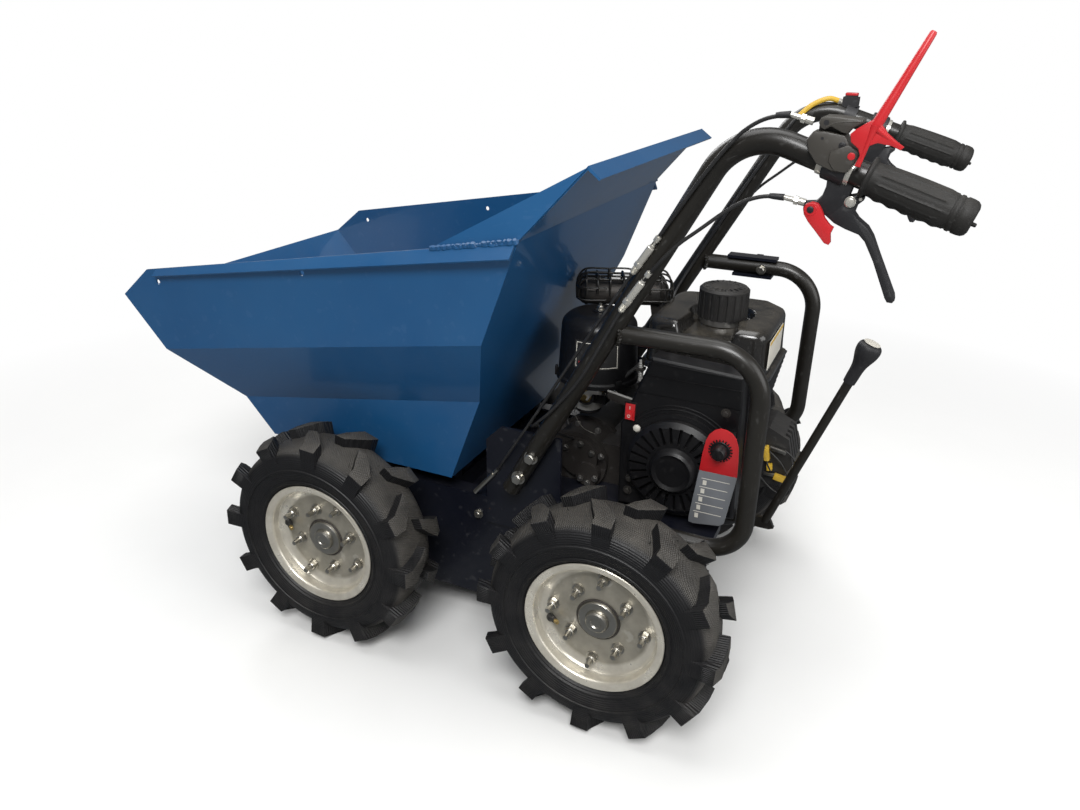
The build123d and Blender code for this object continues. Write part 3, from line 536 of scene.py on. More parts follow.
def paintFinish(name, colour, second, rough, coat, peelScale, peel, dust, rust, scuff, coatRough=0.06,
                specular=0.5, patchScale=6.0, dustReach=0.5, topDust=None, scuffColour=(0.3, 0.3, 0.3)):
    # sprayed paint: slow tone change, peel, dust, scuffs and rust
    material, tree, shader = startFinish(
        name, Coat_Weight=coat, Coat_Roughness=coatRough, Coat_IOR=1.5, Specular_IOR_Level=specular)
    height, patch = useGroup(tree, grainGroup, Fine=peelScale, Coarse=patchScale)
    topDust = dust * 0.5 if topDust is None else topDust
    powder = useGroup(tree, dustGroup, Reach=dustReach, Ground=dust, Top=topDust)[0]
    spots, stain = useGroup(tree, spotGroup, Scale=24.0, Cover=rust)
    scuffs = useGroup(tree, scuffGroup, Scale=55.0, Amount=scuff)[0]
    tone = layered(tree, mixColour, mixColour(tree, patch, colour, second),
                   (scuffs, scuffColour), (stain, rustStain), (spots, rustColour), (powder, dustColour))
    gloss = layered(tree, mixValue, mixValue(tree, patch, *rough), (powder, 0.9), (spots, 0.95))
    height = minus(tree, plus(tree, height, times(tree, spots, 0.8)), times(tree, scuffs, 0.8))
    endFinish(tree, shader, tone, gloss, height, peel, 0.0006)
    return material


def metalFinish(name, colour, second, rough, grainScale, bump, rust, metallic=1.0,
                spotColour=(0.3, 0.26, 0.2)):
    # bare or plated metal: brushed lines, spots and handling marks
    material, tree, shader = startFinish(name, Metallic=metallic, Specular_IOR_Level=0.5)
    height, patch = useGroup(tree, grainGroup, Fine=grainScale, Coarse=18.0)
    stain = useGroup(tree, spotGroup, Scale=60.0, Cover=rust)[1]
    powder = useGroup(tree, dustGroup, Reach=0.6, Ground=0.2, Top=0.1)[0]
    tone = layered(tree, mixColour, mixColour(tree, patch, colour, second),
                   (stain, spotColour), (powder, dustColour))
    gloss = layered(tree, mixValue, mixValue(tree, patch, *rough), (powder, 0.8))
    endFinish(tree, shader, tone, gloss, height, bump, 0.0004)
    return material


def mouldedFinish(name, colour, second, rough, grainScale, bump, dust, topDust=None, specular=0.45,
                  scuff=0.1, scuffColour=(0.16, 0.16, 0.16), dustReach=0.7, dustAndSheenTone=dustColour,
                  dustRough=0.85):
    # moulded plastic or rubber: pebbled grain, worn shine and dust; on the tank the dust tone on upward
    # faces is partly a painted sheen
    material, tree, shader = startFinish(name, Specular_IOR_Level=specular)
    height, patch = useGroup(tree, grainGroup, Fine=grainScale * 0.4, Coarse=12.0)
    topDust = dust if topDust is None else topDust
    powder = useGroup(tree, dustGroup, Reach=dustReach, Ground=dust, Top=topDust)[0]
    scuffs = useGroup(tree, scuffGroup, Scale=80.0, Amount=scuff)[0]
    pebbles = put(tree, "ShaderNodeTexVoronoi", {"Vector": place(tree), "Scale": grainScale})
    # the dust tone here is real dust, and on the tank also a painted sheen on upward faces
    tone = layered(tree, mixColour, mixColour(tree, patch, colour, second),
                   (scuffs, scuffColour), (powder, dustAndSheenTone))
    gloss = layered(tree, mixValue, mixValue(tree, patch, *rough), (powder, dustRough))
    height = plus(tree, pebbles.outputs["Distance"], times(tree, height, 0.5))
    endFinish(tree, shader, tone, gloss, height, bump, 0.0005)
    return material


def tyreFinish():
    # crosshatched tread worn grey on its outward faces, a grey that partly stands in for light on the lug
    # tops (painted light), with painted highlights on the crests of the hatch; shinier sidewall with fine
    # rings, a little dust
    look = dict(
        # the tread colour is worn grey and partly painted light of lit lug tops; the crest colour after it
        # is a painted highlight
        colour=(0.006, 0.006, 0.007), tread=(0.074, 0.068, 0.059), crestHighlight=(0.105, 0.10, 0.092),
        treadEdge=(0.173, 0.181), ribPitch=0.0034, ribTurn=0.19, ribLean=0.55, crossed=0.36,
        ringPitch=0.0035, ringHeight=0.25, outward=(0.45, 0.85), leastWear=0.35, crestHighlightShare=0.4,
        gloss=(0.42, 0.5, 0.55))
    material, tree, shader = startFinish("tyreRubber", Specular_IOR_Level=0.42)
    radius, angle, across, outward = useGroup(tree, wheelGroup)
    height, patch = useGroup(tree, grainGroup, Fine=700.0, Coarse=22.0)
    powder = useGroup(tree, dustGroup, Reach=0.36, Ground=0.10, Top=0.05)[0]
    tread = ramp(tree, radius, *look["treadEdge"])
    slant = times(tree, angle, look["ribTurn"])
    lean = times(tree, across, look["ribLean"])
    lines, crossing = (sine(tree, times(tree, way(tree, slant, lean), tau / look["ribPitch"]))
                       for way in (plus, minus))
    lines = mixValue(tree, look["crossed"], lines, crossing)
    rings = sine(tree, times(tree, radius, tau / look["ringPitch"]))
    relief = mixValue(tree, tread, times(tree, rings, look["ringHeight"]), lines)
    relief = plus(tree, relief, times(tree, height, 0.5))
    # outward faces of the tread take the lighter grey: part wear, part painted light of the lit lug tops
    tops = times(tree, tread, ramp(tree, outward, *look["outward"]))
    wornAndLitTops = times(tree, tops, mixValue(tree, patch, look["leastWear"], 1.0))
    # painted highlight along the crests of the hatch lines
    crestHighlight = times(tree, ramp(tree, lines, 0.2, 1.0), times(tree, tops, look["crestHighlightShare"]))
    tone = layered(tree, mixColour, look["colour"], (wornAndLitTops, look["tread"]), (crestHighlight, look["crestHighlight"]),
                   (powder, dustColour))
    sidewall, treadGloss, patchGloss = look["gloss"]
    gloss = mixValue(tree, patch, mixValue(tree, tread, sidewall, treadGloss), patchGloss)
    endFinish(tree, shader, tone, gloss, relief, 0.8, 0.0010)
    return material


def rimFinish():
    # spun steel with a dull bloom: fine rings round the axle, soft smears, brighter outside the disc
    look = dict(
        bright=((0.82, 0.78, 0.68), (0.62, 0.58, 0.49)), disc=((0.43, 0.40, 0.335), (0.27, 0.255, 0.21)),
        smear=(0.80, 0.78, 0.72), dust=(0.3, 0.28, 0.24), discEdge=(0.088, 0.082), rings=1400.0)
    material, tree, shader = startFinish("rimSteel", Metallic=0.62, Specular_IOR_Level=0.6)
    radius, _, across, _ = useGroup(tree, wheelGroup)
    _, patch = useGroup(tree, grainGroup, Fine=500.0, Coarse=26.0)
    powder = useGroup(tree, dustGroup, Reach=0.5, Ground=0.16, Top=0.1)[0]
    scuffs = useGroup(tree, scuffGroup, Scale=40.0, Amount=0.25)[0]
    flat = put(tree, "ShaderNodeCombineXYZ", {"X": radius, "Y": across}).outputs[0]
    rings = noise(tree, flat, look["rings"], 2.0)
    disc = ramp(tree, radius, *look["discEdge"])
    tone = layered(tree, mixColour, mixColour(tree, patch, *look["bright"]),
                   (disc, mixColour(tree, patch, *look["disc"])),
                   (scuffs, look["smear"]), (powder, look["dust"]))
    gloss = plus(tree, mixValue(tree, disc, 0.24, 0.40), times(tree, patch, 0.12))
    endFinish(tree, shader, tone, gloss, rings, 0.12, 0.0004)
    return material


paintLooks = {
    "skipBlue": dict(
        colour=(0.006, 0.060, 0.165), second=(0.010, 0.076, 0.192), rough=(0.3, 0.38), coat=0.45,
        specular=0.42, peelScale=260.0, peel=0.05, dust=0.05, topDust=0.05, dustReach=0.9, rust=0.02,
        scuff=0.05, scuffColour=(0.14, 0.22, 0.36), patchScale=2.5),
    "frameBlack": dict(
        colour=(0.0034, 0.0042, 0.009), second=(0.006, 0.0072, 0.013), rough=(0.3, 0.42), coat=0.25,
        coatRough=0.12, specular=0.36, peelScale=380.0, peel=0.08, dust=0.05, topDust=0.05, dustReach=0.3,
        rust=0.16, scuff=0.05),
    "tubeBlack": dict(
        colour=(0.0085, 0.0075, 0.006), second=(0.013, 0.0115, 0.009), rough=(0.34, 0.44), coat=0.3,
        coatRough=0.2, specular=0.42, peelScale=420.0, peel=0.08, dust=0.04, rust=0.08, scuff=0.06),
    "castBlack": dict(
        colour=(0.012, 0.012, 0.013), second=(0.022, 0.021, 0.020), rough=(0.42, 0.6), coat=0.15,
        coatRough=0.25, peelScale=520.0, peel=0.4, dust=0.16, rust=0.05, scuff=0.1),
    "castBrown": dict(
        colour=(0.013, 0.011, 0.0095), second=(0.022, 0.018, 0.016), rough=(0.5, 0.68), coat=0.1,
        coatRough=0.3, peelScale=480.0, peel=0.5, dust=0.12, rust=0.12, scuff=0.08),
}
mouldedLooks = {
    "coverPlastic": dict(
        colour=(0.004, 0.004, 0.005), second=(0.007, 0.007, 0.008), rough=(0.32, 0.44), specular=0.38,
        grainScale=1500.0, bump=0.08, dust=0.04, topDust=0.05, scuff=0.04),
    # the tan on the tank's upward faces is partly dust and partly a painted reflection of bright
    # surroundings on its top
    "tankPlastic": dict(
        colour=(0.009, 0.0085, 0.008), second=(0.014, 0.013, 0.012), rough=(0.15, 0.22), specular=0.8,
        grainScale=1200.0, bump=0.04, dust=0.08, topDust=0.6, dustReach=0.9,
        dustAndSheenTone=(0.105, 0.092, 0.072), dustRough=0.32),
    "capPlastic": dict(
        colour=(0.012, 0.0115, 0.011), second=(0.018, 0.017, 0.016), rough=(0.5, 0.62),
        grainScale=1400.0, bump=0.2, dust=0.1, topDust=0.2),
    "controlGrey": dict(
        colour=(0.052, 0.048, 0.041), second=(0.036, 0.033, 0.029), rough=(0.36, 0.48),
        grainScale=1800.0, bump=0.12, dust=0.08, topDust=0.1),
    "leverBlack": dict(
        colour=(0.012, 0.012, 0.014), second=(0.018, 0.018, 0.020), rough=(0.42, 0.55),
        grainScale=1600.0, bump=0.12, dust=0.05),
    "gripRubber": dict(
        colour=(0.012, 0.011, 0.010), second=(0.017, 0.0165, 0.015), rough=(0.52, 0.66), specular=0.36,
        grainScale=900.0, bump=0.3, dust=0.06, topDust=0.12),
    "cableSheath": dict(
        colour=(0.012, 0.012, 0.013), second=(0.018, 0.018, 0.018), rough=(0.35, 0.5),
        grainScale=2000.0, bump=0.06, dust=0.1),
    "controlRed": dict(
        colour=(0.40, 0.010, 0.014), second=(0.47, 0.018, 0.022), rough=(0.30, 0.40), grainScale=500.0,
        bump=0.01, dust=0.02, scuff=0.0),
    "yellowSleeve": dict(
        colour=(0.62, 0.40, 0.03), second=(0.50, 0.31, 0.03), rough=(0.35, 0.5), grainScale=1500.0,
        bump=0.06, dust=0.08),
    "paleLabel": dict(
        colour=(0.62, 0.60, 0.54), second=(0.52, 0.49, 0.43), rough=(0.4, 0.5), grainScale=1500.0,
        bump=0.04, dust=0.1),
    "greyLabel": dict(
        colour=(0.155, 0.165, 0.18), second=(0.12, 0.125, 0.135), rough=(0.3, 0.4), grainScale=1500.0,
        bump=0.04, dust=0.1),
}
metalLooks = {
    "zincPlate": dict(
        colour=(0.64, 0.62, 0.57), second=(0.46, 0.44, 0.39), rough=(0.24, 0.38), grainScale=800.0,
        bump=0.15, rust=0.15),
    "paleZinc": dict(
        colour=(0.74, 0.72, 0.66), second=(0.60, 0.58, 0.52), rough=(0.22, 0.36), metallic=0.72,
        grainScale=800.0, bump=0.15, rust=0.12),
    "brassPlate": dict(
        colour=(0.70, 0.52, 0.22), second=(0.60, 0.44, 0.20), rough=(0.3, 0.45), grainScale=800.0,
        bump=0.15, rust=0.1),
    "castPale": dict(
        colour=(0.62, 0.61, 0.58), second=(0.48, 0.47, 0.44), rough=(0.42, 0.58), metallic=0.35,
        grainScale=600.0, bump=0.3, rust=0.15),
    "bareSteel": dict(
        colour=(0.42, 0.41, 0.39), second=(0.32, 0.31, 0.30), rough=(0.34, 0.5), grainScale=900.0,
        bump=0.2, rust=0.2),
    "hotSteel": dict(
        colour=(0.050, 0.048, 0.046), second=(0.090, 0.080, 0.072), rough=(0.45, 0.65), metallic=0.7,
        grainScale=700.0, bump=0.35, rust=0.2, spotColour=(0.12, 0.07, 0.04)),
}
finishes = {}
for makeFinish, looks in (
        (paintFinish, paintLooks), (mouldedFinish, mouldedLooks), (metalFinish, metalLooks)):
    for name, look in looks.items():
        finishes[name] = makeFinish(name, **look)
finishes["tyreRubber"] = tyreFinish()
finishes["rimSteel"] = rimFinish()

nodeFinishes = {
    "skipBlue": "skip_pan skip_side_left skip_side_right spill_guard wings",
    "frameBlack": "drive_case axle_tubes deck_plate frame_rails cross_beams handle_brackets hoop_feet "
                  "hoop_clamp engine_plate belt_guard bearers pivot_shaft",
    "tubeBlack": "handlebar_left handlebar_right hoop_left hoop_right gear_lever muffler_guard",
    "castBlack": "engine_block carburettor regulator_box",
    "castBrown": "drive_unit gearbox",
    "coverPlastic": "blower_housing recoil_cover air_cleaner tank_support",
    "tankPlastic": "fuel_tank",
    "capPlastic": "fuel_cap",
    "controlGrey": "tip_control",
    "leverBlack": "lever_left lever_right kill_switch gear_knob",
    "gripRubber": "grips",
    "cableSheath": "cable_tip cable_clutch cable_brake cable_switch",
    "controlRed": "stop_rocker tip_lever parking_catch",
    "greyLabel": "throttle_panel",
    "zincPlate": "skip_latch",
    "hotSteel": "muffler",
    "tyreRubber": "tyre_front_left tyre_front_right tyre_rear_left tyre_rear_right",
    "rimSteel": "wheel_front_left wheel_front_right wheel_rear_left wheel_rear_right",
}
for finishName, nodeNames in nodeFinishes.items():
    for nodeName in nodeNames.split():
        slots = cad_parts[nodeName].data.materials
        slots.clear()
        slots.append(finishes[finishName])
dressed = sum(len(names.split()) for names in nodeFinishes.values())
print("finishes on", dressed, "of", len(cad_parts), "nodes")


# ---- floor, lights and camera ----

def stand(name, data):
    made = bpy.data.objects.new(name, data)
    bpy.context.scene.collection.objects.link(made)
    return made


def directRay(tree, path):
    return larger(tree, path["Is Camera Ray"], path["Is Transmission Ray"])


def makeFloor():
    look = dict(
        half=7, colour=(0.80, 0.80, 0.79), second=(0.78, 0.78, 0.77), fadeStart=1.1, fadeEnd=2.2,
        mirrored=0.17)
    half = look["half"]
    mesh = bpy.data.meshes.new("studioFloor")
    corners = [(-half, -half, 0), (half, -half, 0), (half, half, 0), (-half, half, 0)]
    mesh.from_pydata(corners, [], [(0, 1, 2, 3)])
    floor = stand("studioFloor", mesh)
    material, tree, shader = startFinish("paleFloor", Roughness=0.9, Specular_IOR_Level=0.1)
    _, patch = useGroup(tree, grainGroup, Fine=300.0, Coarse=3.0)
    feed(tree, shader, Base_Color=mixColour(tree, patch, look["colour"], look["second"]))
    distance = put(tree, "ShaderNodeVectorMath", {0: place(tree)}, operation="LENGTH").outputs["Value"]
    away = ramp(tree, distance, look["fadeStart"], look["fadeEnd"])
    path = put(tree, "ShaderNodeLightPath").outputs
    white = put(tree, "ShaderNodeEmission", {"Color": (1, 1, 1, 1), "Strength": 1.0})
    seen = put(tree, "ShaderNodeMixShader", {
        0: times(tree, directRay(tree, path), away), 1: shader.outputs[0], 2: white.outputs[0]})
    dim = put(tree, "ShaderNodeEmission", {"Color": (0.9, 0.95, 1.0, 1), "Strength": look["mirrored"]})
    seen = put(tree, "ShaderNodeMixShader", {
        0: path["Is Glossy Ray"], 1: seen.outputs[0], 2: dim.outputs[0]})
    end = next(part for part in tree.nodes if part.type == "OUTPUT_MATERIAL")
    feed(tree, end, Surface=seen.outputs[0])
    mesh.materials.append(material)


def makeWorld():
    look = dict(light=0.26, seen=1, mirrored=0.15)
    world = bpy.data.worlds.new("softStudio")
    bpy.context.scene.world = world
    world.use_nodes = True
    tree = world.node_tree
    tree.nodes.clear()
    path = put(tree, "ShaderNodeLightPath").outputs
    strength = mixValue(tree, path["Is Glossy Ray"], look["light"], look["mirrored"])
    strength = mixValue(tree, directRay(tree, path), strength, look["seen"])
    sky = put(tree, "ShaderNodeBackground", {"Color": (1, 1, 1, 1), "Strength": strength})
    put(tree, "ShaderNodeOutputWorld", {"Surface": sky.outputs[0]})


def makeLamps():
    lamps = {
        "keyPanel": {"at": (-0.9, 2.4, 2.9), "size": (1.6, 1.2), "watts": 105},
        "fillPanel": {"at": (-2.8, 0.4, 1.6), "size": (2.0, 2.0), "watts": 32},
        "rimPanel": {"at": (2.0, -2.2, 2.4), "size": (2.2, 1.4), "watts": 45},
        "topPanel": {"at": (0.2, 0.0, 3.4), "size": (2.6, 2.6), "watts": 60},
    }
    aim = Vector((0.0, 0.0, 0.4))
    for name, look in lamps.items():
        lamp = bpy.data.lights.new(name, "AREA")
        lamp.shape = "RECTANGLE"
        lamp.size, lamp.size_y = look["size"]
        lamp.energy = look["watts"]
        holder = stand(name, lamp)
        holder.location = look["at"]
        holder.rotation_euler = (aim - holder.location).to_track_quat("-Z", "Y").to_euler()


def makeCamera():
    look = dict(
        at=(-0.6312, 1.335, 1.035), forward=(0.382, -0.830, -0.406), right=(-0.906, -0.423, 0.012),
        lens=27.5)
    lens = bpy.data.cameras.new("viewCamera")
    lens.lens = look["lens"]
    lens.sensor_width = 36
    lens.clip_start = 0.01
    camera = stand("viewCamera", lens)
    back = -Vector(look["forward"]).normalized()
    right = Vector(look["right"])
    right = (right - back * right.dot(back)).normalized()
    axes = Matrix((right, back.cross(right), back)).transposed().to_4x4()
    camera.matrix_world = Matrix.Translation(look["at"]) @ axes
    bpy.context.scene.camera = camera


makeFloor()
makeWorld()
makeLamps()
makeCamera()
bpy.context.scene.view_settings.view_transform = "Standard"
print("stage ready")


# ---- wheels ----

corners = {"front_left": (1, 15), "front_right": (-1, 50), "rear_left": (1, 38), "rear_right": (-1, 5)}


def aroundAxle(hub, radius, angle, across):
    # a place on a wheel: radius and across in mm, angle from straight up towards the front
    return hub + Vector((radius * sin(angle), across, radius * cos(angle))) / 1000


def wheelCentre(corner):
    # on the axle, in the middle of the tyre's width
    hub = middle("wheel_" + corner)
    return Vector((hub.x, middle("tyre_" + corner).y, hub.z))


def makeTyre(corner, side):
    # round carcass with sidewall rings and chevron lugs that run down over the shoulder
    look = dict(
        lugs=12, sides=120, top=204.6, shoulderTop=196, shoulderStart=36, shoulder=22, root=152, draft=2.6,
        edge=1.5, pitch=205, topReach=57.8, rootReach=54.4,
        plan=[(28, 2), (8, 2), (-4, 13), (-26, 36), (-28, 58), (4, 58), (5, 41), (18, 20)],
        planMiddle=[18, 18, 6, -10, -12, -12, -10, 6],
        half=[(101.9, 39.7), (105, 42.7), (116.6, 42.7), (118.2, 45.5), (120.4, 48), (123.4, 49),
            (124.2, 50.6), (126.4, 50.8), (127.4, 49.6), (133, 51.6), (141, 53.8), (147, 54.8), (148, 56.6),
            (150.4, 56.6), (151.4, 55), (158, 54.6), (166, 52.6), (173, 48.8), (179, 42.4), (183.4, 33),
            (186, 20), (187, 6)])
    hub = wheelCentre(corner)
    shape = bmesh.new()
    section = [(across, radius) for radius, across in look["half"]]
    section += [(-across, radius) for across, radius in reversed(section)]
    ringed(shape, hub, axisY, section, look["sides"])
    plan = look["plan"]
    fall = look["top"] - look["shoulderTop"]
    for i in range(look["lugs"] * 2):
        hand = side if i % 2 == 0 else -side
        turn = pi / look["lugs"] * i
        tops, roots = [], []
        for (x, y), middleX in zip(plan, look["planMiddle"]):
            lift = look["top"] - max(0.0, y - look["shoulderStart"]) * fall / look["shoulder"]
            spread = x + look["draft"] * (1 if x > middleX else -1)
            for ring, radius, along, reach in ((tops, lift, x, look["topReach"]),
                                               (roots, look["root"], spread, look["rootReach"])):
                ring.append(shape.verts.new(aroundAxle(
                    hub, radius, turn + along / look["pitch"], hand * min(y, reach))))
        shape.faces.new(tops)
        shape.faces.new(roots[::-1])
        around(shape, [roots, tops])
        soften(shape, [edge for vert in tops for edge in vert.link_edges], look["edge"], 0.6)
    finishPiece("lugged_tyre_" + corner, shape, "tyreRubber", 50,
                "road_wheel_" + corner, "tyre_" + corner)


def makeWheel(corner, side):
    # spun dish with a rolled lip, back half, welded hub plate and the stub that turns in the axle tube
    look = dict(
        dish=[(44.2, 115.4), (45.6, 115.4), (46.4, 114.4), (46.4, 112.8), (45.8, 110.6), (45, 107.2),
            (44.2, 104.4), (42.4, 102.6), (39.4, 101.6), (35, 101), (28, 100.4), (24.2, 98.6), (21.4, 94.6),
            (19.6, 90), (18.4, 86.6), (18, 84), (18, 24), (15, 24), (15, 85), (17.6, 92.4), (20.6, 98.6),
            (24.4, 102.4), (30, 103.8), (37, 104.4), (38.8, 108), (41.4, 111.6), (43.2, 113.6)],
        back=[(27, 99), (24, 101.6), (-40, 101.6), (-43, 104.6), (-46, 104.6), (-46, 114.6), (-43.6, 115.4),
            (-42.6, 107.6), (-39.6, 104), (26.6, 103.8), (28.6, 101.6)],
        plate=[(17, 20), (17, 34.4), (19, 34.4), (21.4, 33.2), (23.4, 32.6), (24.4, 31.4), (24.4, 20)],
        cap=[(23, 19.6), (25.4, 19.6), (29.6, 18), (31.4, 15.6), (31.4, 9.4), (29.6, 7.6)], hub=(16, 24),
        inTube=6, stub=12.5,
        weld=[(19.3 + 1.6 * cos(tau * i / 8), 35.0 + 1.9 * sin(tau * i / 8)) for i in range(8)])
    hub = wheelCentre(corner)
    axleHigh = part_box("axle_tubes")[1]
    wheelLow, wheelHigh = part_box("wheel_" + corner)
    tubeEnd = (axleHigh.y - abs(hub.y)) * 1000 + look["inTube"]
    stubEnd = ((wheelLow.y if side > 0 else -wheelHigh.y) - abs(hub.y)) * 1000
    stub = [look["hub"], (tubeEnd, look["hub"][1]), (tubeEnd, look["stub"]), (stubEnd, look["stub"])]
    shape = bmesh.new()
    for made, profile, sides, finish in (
            (ringed, look["dish"], 112, 0), (ringed, look["back"], 112, 0), (turned, stub, 32, 1),
            (ringed, look["plate"], 48, 1), (turned, look["cap"], 48, 2), (ringed, look["weld"], 48, 3)):
        made(shape, hub, axisY * side, profile, sides, finish)
    finishPiece("spun_wheel_" + corner, shape, "rimSteel zincPlate zincPlate hotSteel", 32,
                "road_wheel_" + corner, "wheel_" + corner)


def dressWheel(corner, side, start):
    # nuts on the disc, valve, and whiskers left by the tyre's mould
    look = dict(
        hubCircle=57, rimCircle=77, face=18, whiskers=46,
        nut=(0.0165, 0.0095, 0.021, 0.0018, 0.0085, 0.0135), whisker=(0.0009, 0.0009, 0.0075, 0.5),
        valveTurn=68, valveFoot=(84, 19), valveLean=(66, 33),
        hairs=((137, 50.4), (161, 51), (186.5, 12), (184, 30)), hairLift=0.0012,
        valve=[(-2, 7), (2, 7.4), (4, 5.6), (14, 4.6), (16, 4.2)],
        valveTip=[(15.6, 3.6), (23, 3.6), (24, 2.8)])
    hub = wheelCentre(corner)
    body = "road_wheel_" + corner
    sites = []
    for i in range(4):
        for circle, shift in ((look["hubCircle"], 0), (look["rimCircle"], 47)):
            angle = radians(start + shift + 90 * i)
            sites.append((aroundAxle(hub, circle, angle, side * look["face"]), axisY * side,
                          (cos(angle * 3), 0, sin(angle * 3))))
    growOn("wheel_nuts_" + corner, boltTree, sites, look["nut"], "zincPlate", body)

    shape = bmesh.new()
    angle = radians(start + look["valveTurn"])
    foot, top = (aroundAxle(hub, radius, angle, side * across)
                 for radius, across in (look["valveFoot"], look["valveLean"]))
    lean = (top - foot).normalized()
    turned(shape, foot, lean, look["valve"], 16)
    turned(shape, foot, lean, look["valveTip"], 12, 1)
    finishPiece("valve_" + corner, shape, "cableSheath brassPlate", body=body)

    hairs = []
    for i in range(look["whiskers"]):
        angle = tau * i / look["whiskers"] + 0.05 * sin(i * 7.3)
        lift, across = look["hairs"][i % 4]
        hand = side if i % 3 else -side
        rise, lean, length = (0.35, 1.0, 0.5) if i % 4 < 2 else (1.0, 0.2, 0.8)
        up = aroundAxle(Vector(), rise, angle, hand * lean)
        along = (cos(angle * 5), 0.3 * sin(i), sin(angle * 5))
        base = aroundAxle(hub, lift, angle, hand * across) + up.normalized() * look["hairLift"]
        hairs.append((base, up, along, (1, 1, length + 0.2 * sin(i * 3.1))))
    growOn("whiskers_" + corner, barTree, hairs, look["whisker"], "tyreRubber", body)


for corner, (side, start) in corners.items():
    makeTyre(corner, side)
    makeWheel(corner, side)
    dressWheel(corner, side, start)
print("wheels dressed")


# ---- chassis ----

def dressChassis():
    # bolts of the handle brackets, rails, case, engine plate and hoops
    look = dict(big=(0.019, 0.009, 0.024, 0.002), small=(0.013, 0.0065, 0.018, 0.0015), sunk=0.0005)
    big, small = [], []
    for side in (1, -1):
        out = (0, side, 0)
        big += [(spot(x, side * 247.6, z), out, (1, 0, 0.4)) for x, z in ((-99, 406), (-76, 363))]
        big.append((spot(148, side * 210, 104), out, (1, 0, 0.2)))
        small += [(spot(x, side * 210, 246), out, (0.4, 0, 1)) for x in (23, -180, 180)]
        small += [(spot(x, side * 210, 196), out, (0.2, 0, 1)) for x in (-300, -140)]
    shaft = middle("pivot_shaft")
    low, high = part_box("pivot_shaft")
    for side, y in ((1, high.y), (-1, low.y)):
        small.append((Vector((shaft.x, y - side * look["sunk"], shaft.z)), (0, side, 0), (1, 0, 0)))
    growOn("bracket_bolts", boltTree, big, look["big"], "zincPlate")
    growOn("frame_screws", boltTree, small, look["small"], "zincPlate")


dressChassis()
print("chassis dressed")


# ---- handlebars ----

def handle(side):
    # the straight end of a handlebar, from its tip to the knee
    return spot(-661, side * 287, 855), spot(-388.5, side * 262, 940)


def makeGrips():
    # moulded grips: inner flange, lengthwise flutes above, finger bumps below, two end grooves
    look = dict(
        sides=120, flutes=12, fluteHeight=1.1, bumps=5, bumpHeight=1.7, start=26, end=112, ease=6,
        profile=[(-3, 0), (-3, 14), (-1.5, 18), (2, 20.6), (7, 21.4), (13, 21.4), (14, 20.2), (15.6, 20.2),
            (16.6, 21.4), (20, 21.4), (21, 20.2), (22.6, 20.2), (23.6, 21.2)],
        body=[(24 + i * 2.2, 21.2 - 1.4 * (i / 42) + 0.9 * sin(pi * i / 42)) for i in range(43)],
        flange=[(117, 19.8), (118.2, 21.8), (119.2, 24.2), (121.6, 24.6), (123.6, 23.6), (124.6, 17),
            (124.6, 0)], stud=[(-1, 2.6), (4.5, 2.4), (5.5, 1.6)])
    start, end = look["start"], look["end"]

    def relief(along, angle):
        if not start < along < end:
            return 0.0
        ease = min(1.0, (along - start) / look["ease"], (end - along) / look["ease"])
        below = max(0.0, -sin(angle))
        flute = look["fluteHeight"] * max(0.0, cos(angle * look["flutes"])) ** 5 * (1 - below) * ease
        wave = 0.5 - 0.5 * cos(tau * look["bumps"] * (along - start) / (end - start))
        return flute + look["bumpHeight"] * wave * below ** 3 * ease

    shape = bmesh.new()
    for side in (1, -1):
        tip, knee = handle(side)
        axis = (knee - tip).normalized()
        across = axis.cross(axisZ).normalized()
        up = across.cross(axis).normalized()
        turns = [tau * i / look["sides"] for i in range(look["sides"])]
        rings = []
        for along, radius in look["profile"] + look["body"] + look["flange"]:
            centre = tip + axis * along / 1000
            rings.append([shape.verts.new(centre + (across * cos(angle) + up * sin(angle))
                                          * (radius + relief(along, angle)) / 1000)
                          for angle in (turns if radius else turns[:1])])
        around(shape, rings)
        turned(shape, tip - axis * 0.0025 - up * 0.004, -axis, look["stud"], 12)
    finishPiece("ribbed_grips", shape, "gripRubber", 60, standsFor="grips")


